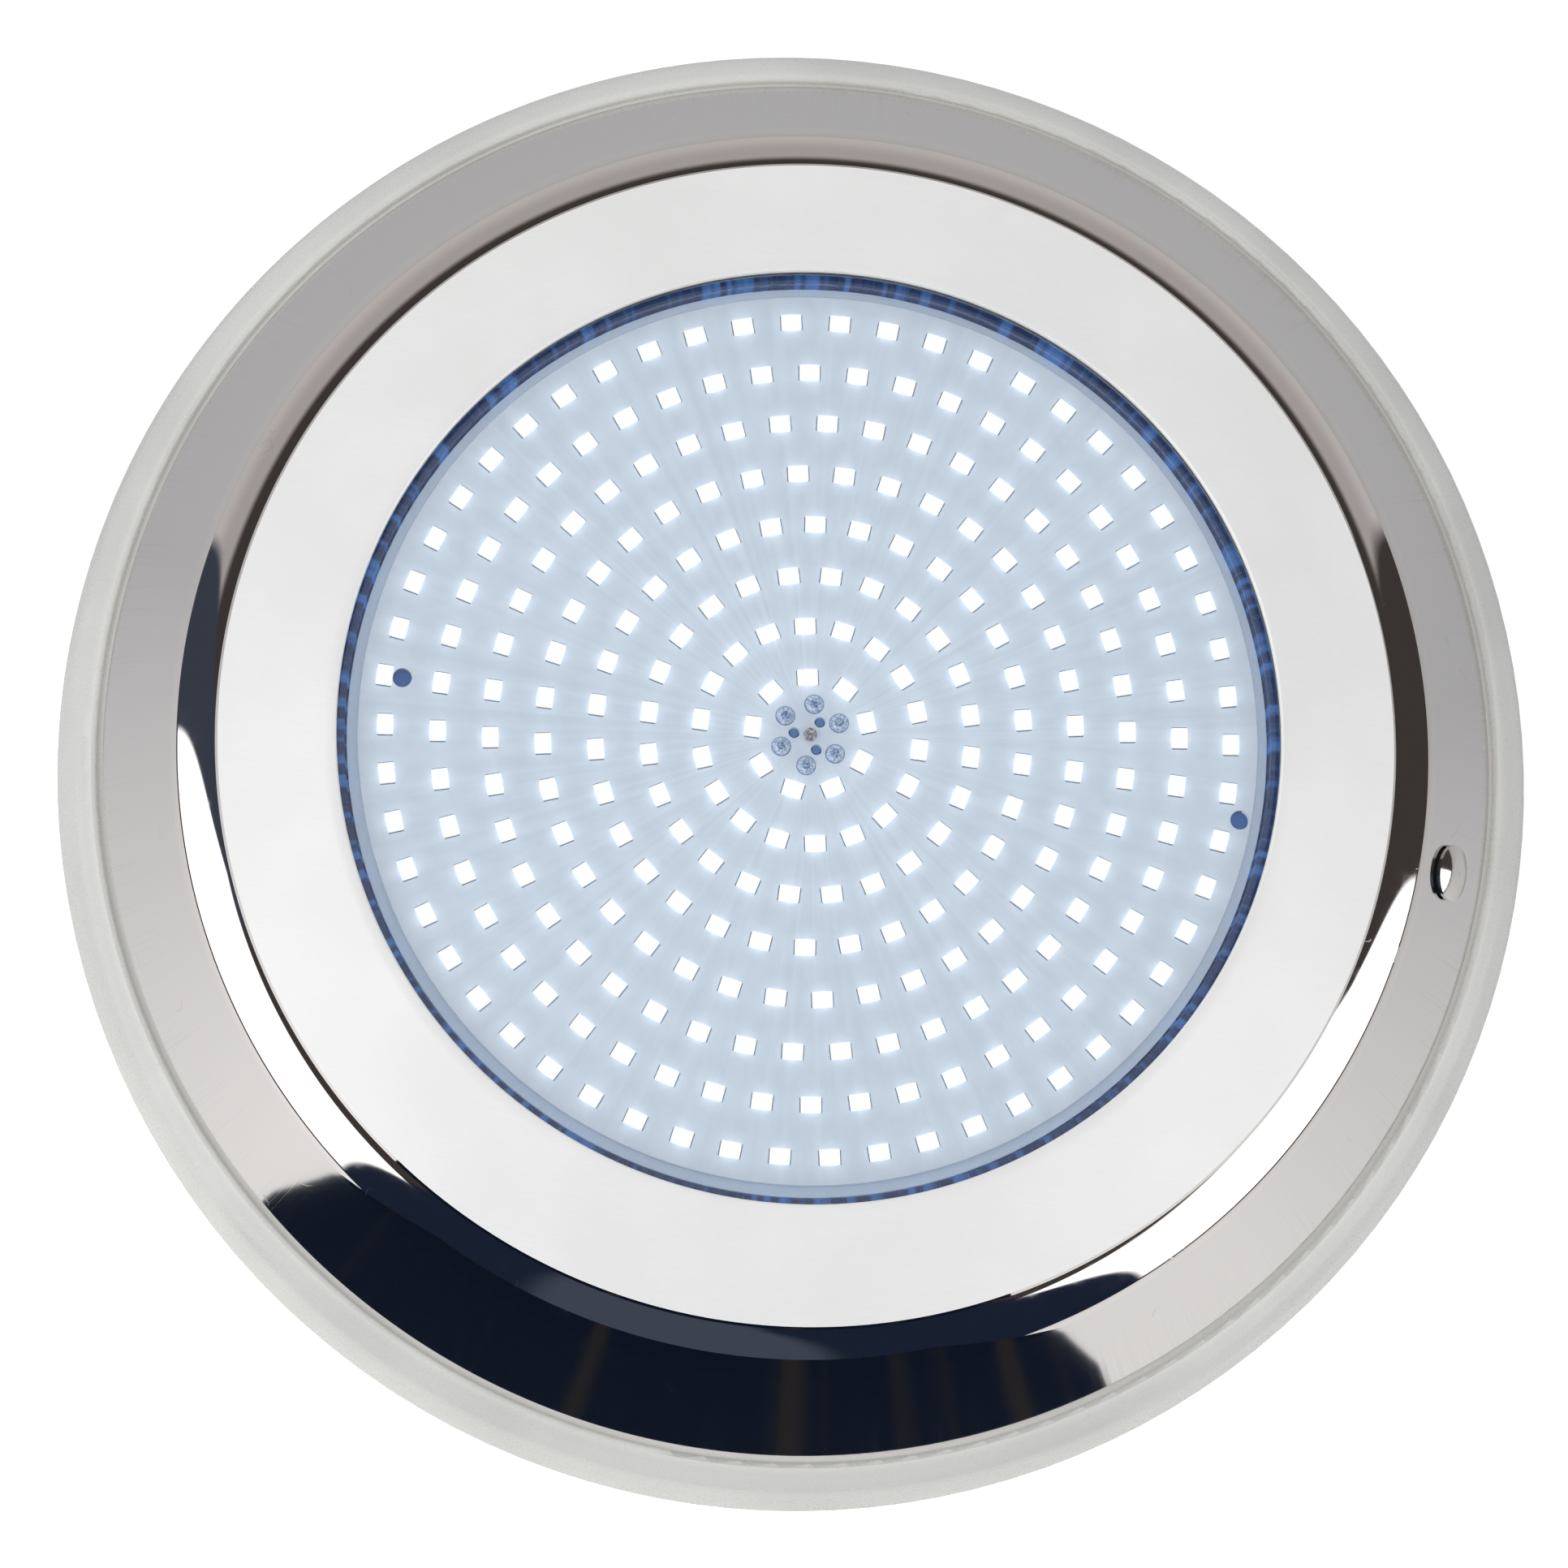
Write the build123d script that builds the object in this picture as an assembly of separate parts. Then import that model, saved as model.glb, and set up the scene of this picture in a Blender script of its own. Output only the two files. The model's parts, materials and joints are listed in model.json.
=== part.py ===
from build123d import *
import os
from math import cos, radians, sin, tan

# Underwater pool light: a stainless cover with a round LED lamp behind it, on a plastic wall base.
# Millimetres. The wall is the plane Z = 0, +Z points out of the face, +X points at the lock screw.

# Wall base
BASE_R = 131.5
BASE_WALL = 2.6
BASE_STRAIGHT_Z = 3.5
SIDE_BEND_R = 30.0
SIDE_BEND_DEG = 22.0
CROWN_BEND_R = 7.0
CROWN_BEND_DEG = 75.0
RIM_LIP_R = 0.8
LEDGE_Z = 17.4
LEDGE_THICK = 2.2
INNER_WALL_R = 115.0
CHANNEL_R = 117.5
FLOOR_THICK = 3.0
FLOOR_OPENING_R = 48.0
RIB_COUNT = 24
RIB_THICK = 2.0
WALL_SCREW_R = 90.0
WALL_SCREW_HOLE_R = 2.75
WALL_SCREW_COUNT = 4

# Steel cover. Slopes are measured downwards from level.
COVER_Z = 45.0
SHEET = 1.0
WINDOW_R = 81.2
WINDOW_ROUND = 0.5
PLATE_DEG = 13.0
CREASE_R = 101.6
STEP_WALL = (0.45, 0.5)
STEP_TOE = (0.65, 0.1)
SHOULDER_DEG = 10.0
SHOULDER_BEND_R = 11.7
CONE_DEG = 52.0
COVER_R = 122.5
STUD_R = 1.95
STUD_PCD_R = 94.0
STUD_COUNT = 4
STUD_TOP_Z = 41.5
STUD_LENGTH = 12.0

# Hooks that hold the cover under the lugs of the base
HOOK_ANGLES = (120, 240)
HOOK_SHEET = 1.5
HOOK_R = 109.0
HOOK_TOE_R = 114.2
HOOK_Z = 10.3
HOOK_SWEEP = 8.0
WELD_GAP = 0.02
LUG_Z = 12.5
LUG_HEIGHT = 2.8
LUG_SWEEP = 10.0

# Lock screw, square to the cone
LOCK_R = 114.9
LOCK_SHANK_R = 2.5
LOCK_LENGTH = 14.0
LOCK_HEAD_R = 4.9
LOCK_HEAD_HEIGHT = 1.7
LOCK_HEAD_RIM = 0.6
LOCK_WASHER_R = 4.3
LOCK_WASHER_THICK = 0.4
LOCK_HOLE_R = 2.8
BOSS_DEPTH = 3.2
BOSS_WIDTH = 14.0
INSERT_R = 3.5
INSERT_LENGTH = 9.0
INSERT_BORE_R = 2.55
BOSS_HOLE_DEPTH = 13.0

# Lens and its gaskets
LENS_R = 85.0
LENS_THICK = 2.0
SEAL_INNER_R = 81.5
TOP_GASKET = 0.2
LENS_GASKET = 0.5

# Lamp housing
CAVITY_R = 80.0
HOUSING_R = 84.0
FLANGE_R = 98.0
FLANGE_THICK = 3.0
POCKET_R = 85.3
POCKET_WALL_R = 88.0
COVER_GAP = 0.3
CUP_R = 74.5
CUP_WALL = 3.5
CUP_BACK_Z = 18.0
SEAT_THICK = 3.0
BACK_THICK = 3.0
BACK_SCREW_R = 67.5
BACK_SCREW_COUNT = 6
BACK_BOSS_R = 4.0
SEAL_GROOVE = 1.5
SEAL_DEPTH = 1.2

# LED board and heat path
BOARD_R = 77.8
BOARD_THICK = 1.6
LED_SIZE = (2.8, 3.5, 0.7)
LED_WINDOW_R = 1.2
LED_LENS_GAP = 0.3
RING_COUNT = 8
FIRST_RING_R = 10.0
RING_PITCH = 9.0
CRAMPED_LED_SHIFT = 0.8
BOARD_HOLE_R = 1.65
BOARD_HOLES = ((70.8, 180.0), (75.7, -3.3))
BOARD_TURN = 3.2
TERMINAL_R = 1.7
TERMINAL_PCD_R = 5.4
TERMINAL_COUNT = 6
WIRE_HOLE_R = 0.95
WIRE_PCD_R = 2.8
WIRE_COUNT = 3
WIRE_R = 0.7
CENTRE_SCREW_R = 0.9
CENTRE_HEAD_R = 1.15
PAD_THICK = 0.5
PAD_R = 76.0
PAD_OPENING_R = 8.0
SPREADER_R = 79.6
SPREADER_THICK = 3.0
SPREADER_SCREW_R = 74.5
SPREADER_SCREW_COUNT = 4
SPREADER_BOSS_DEPTH = 10.0

# Driver
DRIVER_Z = 24.0
DRIVER_R = 60.0
DRIVER_OPENING_R = 15.0
DRIVER_THICK = 1.6
DRIVER_SCREW_R = 52.0
DRIVER_SCREW_COUNT = 4
STANDOFF_FLATS = 5.5
CAPACITOR_SPOTS = ((20, 34), (31, 24))
TERMINAL_BLOCK_SPOT = (-38, 0)
BRIDGE_SPOT = (36, -22)
INDUCTOR_SPOT = (-25, -32)
CHIP_SPOT = (5, -40)

# Cable gland
GLAND_THREAD_R = 8.0
GLAND_FLATS = 22.0
GLAND_NUT_Z = (1.0, 9.3)
GLAND_HEX_Z = (9.5, 14.2)
GLAND_TOP_Z = 22.5
GLAND_SEAT_R = 6.0
GLAND_SEAT_TOP_Z = 11.6
CABLE_R = 3.5

# Small fasteners
M3_R = 1.45
M3_HEAD_R = 2.8
M3_HEAD_HEIGHT = 2.2
THREAD_GAP = 0.05


def plate_z(radius, depth=0.0):
    """Height of the cover's plate at a radius, on a surface at a depth under its outer skin."""
    slope = radians(PLATE_DEG)
    return COVER_Z - (radius - WINDOW_R - WINDOW_ROUND) * tan(slope) - depth / cos(slope)


# Heights that follow from the stack, from the cover down
LENS_TOP_Z = plate_z(LENS_R, SHEET) - TOP_GASKET
LENS_BOTTOM_Z = LENS_TOP_Z - LENS_THICK
HOUSING_RIM_Z = LENS_BOTTOM_Z - LENS_GASKET
FLANGE_TOP_Z = plate_z(FLANGE_R, SHEET) - COVER_GAP
FLANGE_Z = FLANGE_TOP_Z - FLANGE_THICK
LED_TOP_Z = LENS_BOTTOM_Z - LED_LENS_GAP
BOARD_TOP_Z = LED_TOP_Z - LED_SIZE[2]
BOARD_Z = BOARD_TOP_Z - BOARD_THICK
SPREADER_TOP_Z = BOARD_Z - PAD_THICK
SPREADER_Z = SPREADER_TOP_Z - SPREADER_THICK
BACK_Z = CUP_BACK_Z - BACK_THICK
DRIVER_TOP_Z = DRIVER_Z + DRIVER_THICK


def turned(*points):
    """Solid of revolution about Z of a closed outline of (radius, height) points."""
    return revolve(make_face(Plane.XZ * Polyline(*points, close=True)), Axis.Z)


def sector(sweep, *points):
    """Part of a solid of revolution, centred on +X."""
    face = make_face(Plane.XZ * Polyline(*points, close=True))
    return Rot(0, 0, -sweep / 2) * revolve(face, Axis.Z, sweep)


def tube(inner, outer, low, high):
    """Upright tube between two heights."""
    return turned((inner, low), (outer, low), (outer, high), (inner, high))


def disc(radius, low, high):
    """Upright cylinder between two heights."""
    return Pos(0, 0, low) * Cylinder(radius, high - low, align=(Align.CENTER, Align.CENTER, Align.MIN))


def hexagon(flats, low, high):
    """Upright hexagonal prism, sized across its flats."""
    outline = Pos(0, 0, low) * RegularPolygon(flats / 2, 6, major_radius=False)
    return extrude(outline, high - low)


def block(size, x, y, low):
    """Upright box standing at a height."""
    return Pos(x, y, low) * Box(*size, align=(Align.CENTER, Align.CENTER, Align.MIN))


def around(shape, radius, count, start=0.0):
    """Copies of a shape on a circle, each turned to face outwards."""
    return [spot * shape for spot in PolarLocations(radius, count, start_angle=start)]


def cut(shape, tools):
    """Shape with every tool removed."""
    for tool in tools:
        shape -= tool
    return shape


def fuse(shape, tools):
    """Shape with every tool added."""
    for tool in tools:
        shape += tool
    return shape


def arc_point(start, radius, first_deg, last_deg):
    """Point on an outer skin's arc, found from the angle of the skin's normal above level."""
    run = radius * (cos(radians(last_deg)) - cos(radians(first_deg)))
    rise = radius * (sin(radians(last_deg)) - sin(radians(first_deg)))
    return (start[0] + run, start[1] + rise)


def arc(start, radius, first_deg, last_deg):
    """Arc of an outer skin between two angles of its normal."""
    middle = arc_point(start, radius, first_deg, (first_deg + last_deg) / 2)
    return ThreePointArc(start, middle, arc_point(start, radius, first_deg, last_deg))


def below(point, slope_deg, depth):
    """Point under a sloping skin, square to it."""
    return (point[0] - depth * sin(radians(slope_deg)), point[1] - depth * cos(radians(slope_deg)))


def step_points():
    """The pressed step between plate and shoulder: its lip, the foot of its wall and its toe."""
    lip = (CREASE_R, plate_z(CREASE_R))
    foot = (lip[0] + STEP_WALL[0], lip[1] - STEP_WALL[1])
    return [lip, foot, (foot[0] + STEP_TOE[0], foot[1] - STEP_TOE[1])]


def shoulder_ends(depth):
    """Start and end of the cover's shoulder, and the cover's edge, at a depth under the skin."""
    start = step_points()[2]
    cone = arc_point(start, SHOULDER_BEND_R, 90 - SHOULDER_DEG, 90 - CONE_DEG)
    edge = (COVER_R, cone[1] - (COVER_R - cone[0]) * tan(radians(CONE_DEG)))
    slopes = (SHOULDER_DEG, CONE_DEG, CONE_DEG)
    return [below(*pair, depth) for pair in zip((start, cone, edge), slopes)]


def skin_curves(depth):
    """Shoulder and cone of the cover at a depth under the skin."""
    start, cone, edge = shoulder_ends(depth)
    return [arc(start, SHOULDER_BEND_R - depth, 90 - SHOULDER_DEG, 90 - CONE_DEG), Line(cone, edge)]


def cone_z(radius, depth=0.0):
    """Height of the cone at a radius, on a surface at a depth under its outer skin."""
    edge = shoulder_ends(depth)[2]
    return edge[1] + (edge[0] - radius) * tan(radians(CONE_DEG))


def lock_plane(depth):
    """Plane square to the lock screw, at a depth under the cone."""
    normal = (sin(radians(CONE_DEG)), 0, cos(radians(CONE_DEG)))
    origin = (LOCK_R - depth * normal[0], 0, cone_z(LOCK_R) - depth * normal[2])
    return Plane(origin=origin, x_dir=(0, 1, 0), z_dir=normal)


def lock_cylinder(radius, top_depth, length):
    """Cylinder on the lock screw's axis, reaching inwards from a depth under the cone."""
    shape = Cylinder(radius, length, align=(Align.CENTER, Align.CENTER, Align.MAX))
    return lock_plane(top_depth) * shape


def base_section():
    """Rim of the base: rounded outer wall, ledge under the cover's edge, and inner wall."""
    side = arc_point((BASE_R, BASE_STRAIGHT_Z), SIDE_BEND_R, 0, SIDE_BEND_DEG)
    crown = arc_point(side, CROWN_BEND_R, SIDE_BEND_DEG, CROWN_BEND_DEG)
    mouth = arc_point(crown, RIM_LIP_R, CROWN_BEND_DEG, 180)
    inner_r = BASE_R - BASE_WALL
    inner_side = arc_point((inner_r, BASE_STRAIGHT_Z), SIDE_BEND_R - BASE_WALL, 0, SIDE_BEND_DEG)
    inner_crown = arc_point(inner_side, CROWN_BEND_R - BASE_WALL, SIDE_BEND_DEG, 30)
    roof_z = LEDGE_Z - LEDGE_THICK
    outline = [
        Line((BASE_R, 0), (BASE_R, BASE_STRAIGHT_Z)),
        arc((BASE_R, BASE_STRAIGHT_Z), SIDE_BEND_R, 0, SIDE_BEND_DEG),
        arc(side, CROWN_BEND_R, SIDE_BEND_DEG, CROWN_BEND_DEG),
        arc(crown, RIM_LIP_R, CROWN_BEND_DEG, 180),
        Polyline(mouth, (mouth[0], LEDGE_Z), (INNER_WALL_R, LEDGE_Z), (INNER_WALL_R, 0), (CHANNEL_R, 0)),
        Polyline((CHANNEL_R, 0), (CHANNEL_R, roof_z), (mouth[0] + 0.9, roof_z), inner_crown),
        arc(inner_side, CROWN_BEND_R - BASE_WALL, SIDE_BEND_DEG, 30),
        arc((inner_r, BASE_STRAIGHT_Z), SIDE_BEND_R - BASE_WALL, 0, SIDE_BEND_DEG),
        Polyline((inner_r, BASE_STRAIGHT_Z), (inner_r, 0), (BASE_R, 0)),
    ]
    return revolve(make_face(Plane.XZ * Curve(outline)), Axis.Z)


def base_ribs():
    """Stiffening ribs inside the rim."""
    inside = CHANNEL_R - 1
    outline = Polyline((inside, 1), (130, 1), (130, 6.5), (128.2, 13), (126.5, 16), (inside, 16), close=True)
    rib = Pos(0, RIB_THICK / 2, 0) * extrude(make_face(Plane.XZ * outline), RIB_THICK)
    return around(rib, 0, RIB_COUNT, 180 / RIB_COUNT)


def lock_boss():
    """Boss of the base that holds the threaded insert of the lock screw."""
    top = lock_plane(BOSS_DEPTH)
    high = (top.origin.X - 7 * cos(radians(CONE_DEG)), top.origin.Z + 7 * sin(radians(CONE_DEG)))
    low_x = INNER_WALL_R + 0.5
    low_z = top.origin.Z - (low_x - top.origin.X) * tan(radians(CONE_DEG))
    outline = Polyline((94.5, 0), (low_x, 0), (low_x, low_z), high, (98.5, 28), (94.5, 16), close=True)
    return Pos(0, BOSS_WIDTH / 2, 0) * extrude(make_face(Plane.XZ * outline), BOSS_WIDTH)


def make_mounting_base():
    floor = tube(FLOOR_OPENING_R, INNER_WALL_R + 1, 0, FLOOR_THICK)
    lug_points = ((111.4, LUG_Z), (INNER_WALL_R + 1, LUG_Z))
    lug_points += tuple((radius, LUG_Z + LUG_HEIGHT) for radius in (INNER_WALL_R + 1, 111.4))
    lug = sector(LUG_SWEEP, *lug_points)
    lugs = [Rot(0, 0, angle) * lug for angle in HOOK_ANGLES]
    base = fuse(base_section(), [floor, lock_boss()] + lugs + base_ribs())
    wall_hole = disc(WALL_SCREW_HOLE_R, -1, FLOOR_THICK + 1)
    holes = around(wall_hole, WALL_SCREW_R, WALL_SCREW_COUNT, 45)
    holes.append(lock_cylinder(INSERT_R, BOSS_DEPTH - 1, INSERT_LENGTH + 1))
    holes.append(lock_cylinder(LOCK_HOLE_R, BOSS_DEPTH, BOSS_HOLE_DEPTH))
    return cut(base, holes)


def make_base_insert():
    body = lock_cylinder(INSERT_R, BOSS_DEPTH, INSERT_LENGTH)
    return body - lock_cylinder(INSERT_BORE_R, BOSS_DEPTH - 1, INSERT_LENGTH + 2)


def make_steel_cover():
    rounded = (WINDOW_R + WINDOW_ROUND, COVER_Z)
    side = (WINDOW_R, COVER_Z - WINDOW_ROUND)
    outline = [arc(rounded, WINDOW_ROUND, 90, 180), Polyline(rounded, *step_points())]
    outline += skin_curves(0) + skin_curves(SHEET)
    outline.append(Line(shoulder_ends(0)[2], shoulder_ends(SHEET)[2]))
    plate_end = below(step_points()[0], PLATE_DEG, SHEET)
    outline.append(Polyline(shoulder_ends(SHEET)[0], plate_end, (WINDOW_R, plate_z(WINDOW_R, SHEET)), side))
    sheet = revolve(make_face(Plane.XZ * Curve(outline)), Axis.Z)
    studs = around(disc(STUD_R, STUD_TOP_Z - STUD_LENGTH, STUD_TOP_Z), STUD_PCD_R, STUD_COUNT, 45)
    return fuse(sheet, studs) - lock_cylinder(LOCK_HOLE_R, -2, 6)


def make_cover_hooks():
    leg_r = HOOK_R + HOOK_SHEET
    flange_drop = HOOK_SHEET / cos(radians(CONE_DEG))
    tops = [(radius, cone_z(radius, SHEET) - WELD_GAP) for radius in (HOOK_R, leg_r, HOOK_TOE_R)]
    outline = [tops[0], tops[2], (HOOK_TOE_R, tops[2][1] - flange_drop), (leg_r, tops[1][1] - flange_drop)]
    toe_z = HOOK_Z + HOOK_SHEET
    outline += [(leg_r, toe_z), (HOOK_TOE_R, toe_z), (HOOK_TOE_R, HOOK_Z), (HOOK_R, HOOK_Z)]
    hook = sector(HOOK_SWEEP, *outline)
    return Compound([Rot(0, 0, angle) * hook for angle in HOOK_ANGLES])


def stud_stack(shape):
    return Compound(around(shape, STUD_PCD_R, STUD_COUNT, 45))


def make_stud_washers():
    return stud_stack(tube(STUD_R + 0.2, 4.4, FLANGE_Z - 0.8, FLANGE_Z))


def make_stud_nuts():
    top = FLANGE_Z - 0.8
    return stud_stack(hexagon(7, top - 3.2, top) - disc(STUD_R + THREAD_GAP, top - 4, top + 1))


def make_top_gasket():
    """Wedge-shaped gasket: flat on the lens, sloping under the cover."""
    outer_top = (LENS_R, plate_z(LENS_R, SHEET))
    inner_top = (SEAL_INNER_R, plate_z(SEAL_INNER_R, SHEET))
    return turned((SEAL_INNER_R, LENS_TOP_Z), (LENS_R, LENS_TOP_Z), outer_top, inner_top)


def make_lamp_housing():
    seat_z = SPREADER_Z - SEAT_THICK
    pocket_z = plate_z(POCKET_WALL_R, SHEET) - COVER_GAP
    cup_inner = CUP_R - CUP_WALL
    section = turned(
        (cup_inner, CUP_BACK_Z), (CUP_R, CUP_BACK_Z), (CUP_R, seat_z), (HOUSING_R, seat_z),
        (HOUSING_R, FLANGE_Z), (FLANGE_R, FLANGE_Z), (FLANGE_R, FLANGE_TOP_Z),
        (POCKET_WALL_R, FLANGE_TOP_Z), (POCKET_WALL_R, pocket_z),
        (POCKET_R, pocket_z), (POCKET_R, HOUSING_RIM_Z),
        (CAVITY_R, HOUSING_RIM_Z), (CAVITY_R, SPREADER_Z), (cup_inner, SPREADER_Z),
    )
    back_boss = disc(BACK_BOSS_R, CUP_BACK_Z, SPREADER_Z - 4)
    spreader_boss = disc(BACK_BOSS_R - 0.4, SPREADER_Z - SPREADER_BOSS_DEPTH, SPREADER_Z)
    bosses = around(back_boss, BACK_SCREW_R, BACK_SCREW_COUNT, 30)
    bosses += around(spreader_boss, SPREADER_SCREW_R, SPREADER_SCREW_COUNT, 45)
    groove_r = cup_inner + 1
    holes = [tube(groove_r, groove_r + SEAL_GROOVE, CUP_BACK_Z - 1, CUP_BACK_Z + SEAL_DEPTH)]
    back_hole = disc(M3_R + THREAD_GAP, CUP_BACK_Z - 1, CUP_BACK_Z + 9)
    holes += around(back_hole, BACK_SCREW_R, BACK_SCREW_COUNT, 30)
    spreader_hole = disc(M3_R + THREAD_GAP, SPREADER_Z - 9, SPREADER_Z + 1)
    holes += around(spreader_hole, SPREADER_SCREW_R, SPREADER_SCREW_COUNT, 45)
    holes += around(disc(STUD_R + 0.3, FLANGE_Z - 1, COVER_Z), STUD_PCD_R, STUD_COUNT, 45)
    return cut(fuse(section, bosses), holes)


def make_housing_back():
    plate = disc(CUP_R, BACK_Z, CUP_BACK_Z) - disc(GLAND_THREAD_R + 0.1, BACK_Z - 1, CUP_BACK_Z + 1)
    hole = disc(M3_R + 0.2, BACK_Z - 1, CUP_BACK_Z + 1)
    return cut(plate, around(hole, BACK_SCREW_R, BACK_SCREW_COUNT, 30))


def make_back_seal():
    groove_r = CUP_R - CUP_WALL + 1
    return tube(groove_r, groove_r + SEAL_GROOVE, CUP_BACK_Z, CUP_BACK_Z + SEAL_DEPTH)


def pan_screw(seat_z, length, head_up):
    """M3 pan-head screw with a cross-slot, its head above or below its seat."""
    head = disc(M3_HEAD_R, seat_z, seat_z + M3_HEAD_HEIGHT)
    head = fillet(head.edges().sort_by(Axis.Z)[-1], 0.8)
    slot_z = seat_z + M3_HEAD_HEIGHT - 1
    head = cut(head, [block((3, 0.7, 2), 0, 0, slot_z), block((0.7, 3, 2), 0, 0, slot_z)])
    screw = head + disc(M3_R, seat_z - length, seat_z)
    return screw if head_up else Pos(0, 0, 2 * seat_z) * Rot(180, 0, 0) * screw


def make_back_screws():
    return Compound(around(pan_screw(BACK_Z, BACK_THICK + 8, False), BACK_SCREW_R, BACK_SCREW_COUNT, 30))


def spreader_screw(gap):
    """Countersunk M3 screw, or the hole for it when a gap is given."""
    top = SPREADER_TOP_Z + (1 if gap else 0)
    head_z = SPREADER_TOP_Z - 1.6
    shank = M3_R + gap
    points = [(0, head_z - 9), (shank, head_z - 9), (shank, head_z), (M3_HEAD_R + gap, SPREADER_TOP_Z)]
    return turned(*points, (M3_HEAD_R + gap, top), (0, top)) if gap else turned(*points, (0, SPREADER_TOP_Z))


def make_spreader_screws():
    slot = block((3, 0.7, 2), 0, 0, SPREADER_TOP_Z - 0.9)
    screw = spreader_screw(0) - slot
    return Compound(around(screw, SPREADER_SCREW_R, SPREADER_SCREW_COUNT, 45))


def make_heat_spreader():
    holes = around(spreader_screw(THREAD_GAP), SPREADER_SCREW_R, SPREADER_SCREW_COUNT, 45)
    wire_hole = disc(WIRE_R + 0.5, SPREADER_Z - 1, SPREADER_TOP_Z + 1)
    holes += around(wire_hole, WIRE_PCD_R, WIRE_COUNT, 60 + BOARD_TURN)
    holes.append(disc(CENTRE_SCREW_R + THREAD_GAP, SPREADER_Z + 0.5, SPREADER_TOP_Z + 1))
    return cut(disc(SPREADER_R, SPREADER_Z, SPREADER_TOP_Z), holes)


def board_holes(low, high):
    """Two location holes that run through the board and its pad."""
    hole = disc(BOARD_HOLE_R, low, high)
    return [Rot(0, 0, angle + BOARD_TURN) * Pos(radius, 0, 0) * hole for radius, angle in BOARD_HOLES]


def make_thermal_pad():
    return cut(tube(PAD_OPENING_R, PAD_R, SPREADER_TOP_Z, BOARD_Z), board_holes(BOARD_Z - 1, BOARD_Z + 1))


def make_led_board():
    board = cut(disc(BOARD_R, BOARD_Z, BOARD_TOP_Z), board_holes(BOARD_Z - 1, BOARD_TOP_Z + 1))
    wires = around(disc(WIRE_HOLE_R, BOARD_Z - 1, BOARD_TOP_Z + 1), WIRE_PCD_R, WIRE_COUNT, 60 + BOARD_TURN)
    return cut(board, wires) - disc(CENTRE_SCREW_R + THREAD_GAP, BOARD_Z - 1, BOARD_TOP_Z + 1)


def make_board_terminals():
    top = BOARD_TOP_Z + 0.8
    dome = turned((0, BOARD_TOP_Z), (TERMINAL_R, BOARD_TOP_Z), (1.35, top - 0.3), (0.7, top), (0, top))
    return Compound(around(dome, TERMINAL_PCD_R, TERMINAL_COUNT, 30 + BOARD_TURN))


def make_board_centre_screw():
    head = disc(CENTRE_HEAD_R, BOARD_TOP_Z, BOARD_TOP_Z + 0.8) - block((1.6, 0.4, 1), 0, 0, BOARD_TOP_Z + 0.4)
    return head + disc(CENTRE_SCREW_R, SPREADER_Z + 0.8, BOARD_TOP_Z)


def led_package():
    """Surface-mounted LED with a shallow round window in its top."""
    return block(LED_SIZE, 0, 0, BOARD_TOP_Z) - disc(LED_WINDOW_R, LED_TOP_Z - 0.15, LED_TOP_Z + 1)


def make_led_ring(index):
    """Ring of LEDs. The first ring stands half a step round, and one LED makes room for a hole."""
    count = 9 if index == 1 else 6 * (index + 1)
    start = BOARD_TURN + (180.0 / count if index == 1 else 0.0)
    radius = FIRST_RING_R + RING_PITCH * (index - 1)
    leds = around(led_package(), radius, count, start)
    if index == RING_COUNT:
        cramped = Pos(radius + CRAMPED_LED_SHIFT, 0, 0) * led_package()
        leds[count // 2] = Rot(0, 0, BOARD_TURN + 180) * cramped
    return Compound(leds)


def make_driver_board():
    hole = disc(M3_R + 0.2, DRIVER_Z - 1, DRIVER_TOP_Z + 1)
    board = tube(DRIVER_OPENING_R, DRIVER_R, DRIVER_Z, DRIVER_TOP_Z)
    return cut(board, around(hole, DRIVER_SCREW_R, DRIVER_SCREW_COUNT))


def make_driver_standoffs():
    bore = disc(M3_R + THREAD_GAP, CUP_BACK_Z + 1, DRIVER_Z + 1)
    post = hexagon(STANDOFF_FLATS, CUP_BACK_Z, DRIVER_Z) - bore
    return Compound(around(post, DRIVER_SCREW_R, DRIVER_SCREW_COUNT))


def make_driver_screws():
    return Compound(around(pan_screw(DRIVER_TOP_Z, 6, True), DRIVER_SCREW_R, DRIVER_SCREW_COUNT))


def make_capacitors():
    can = disc(4, DRIVER_TOP_Z, DRIVER_TOP_Z + 8)
    can = fillet(can.edges().sort_by(Axis.Z)[-1], 0.6)
    groove = tube(3.7, 5, DRIVER_TOP_Z + 1.2, DRIVER_TOP_Z + 1.8)
    return Compound([Pos(*spot, 0) * (can - groove) for spot in CAPACITOR_SPOTS])


def make_inductor():
    rim = DRIVER_TOP_Z + 7
    low = DRIVER_TOP_Z
    core = turned((0, low), (6.5, low), (6.5, low + 1.2), (5.4, low + 1.6),
                  (5.4, rim - 1.6), (6.5, rim - 1.2), (6.5, rim), (0, rim))
    return Pos(*INDUCTOR_SPOT, 0) * core


def make_bridge_rectifier():
    x, y = BRIDGE_SPOT
    body = block((8.4, 6.4, 2.6), x, y, DRIVER_TOP_Z + 0.4)
    legs = [block((1, 8.6, 0.8), x + side * 2.5, y, DRIVER_TOP_Z) for side in (-1, 1)]
    return fuse(chamfer(body.edges().group_by(Axis.Z)[-1], 0.3), legs)


def make_driver_chip():
    x, y = CHIP_SPOT
    body = block((4.9, 3.9, 1.4), x, y, DRIVER_TOP_Z + 0.2)
    steps = (-1.5, -0.5, 0.5, 1.5)
    return fuse(body, [block((0.4, 6, 0.5), x + step * 1.27, y, DRIVER_TOP_Z) for step in steps])


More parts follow.
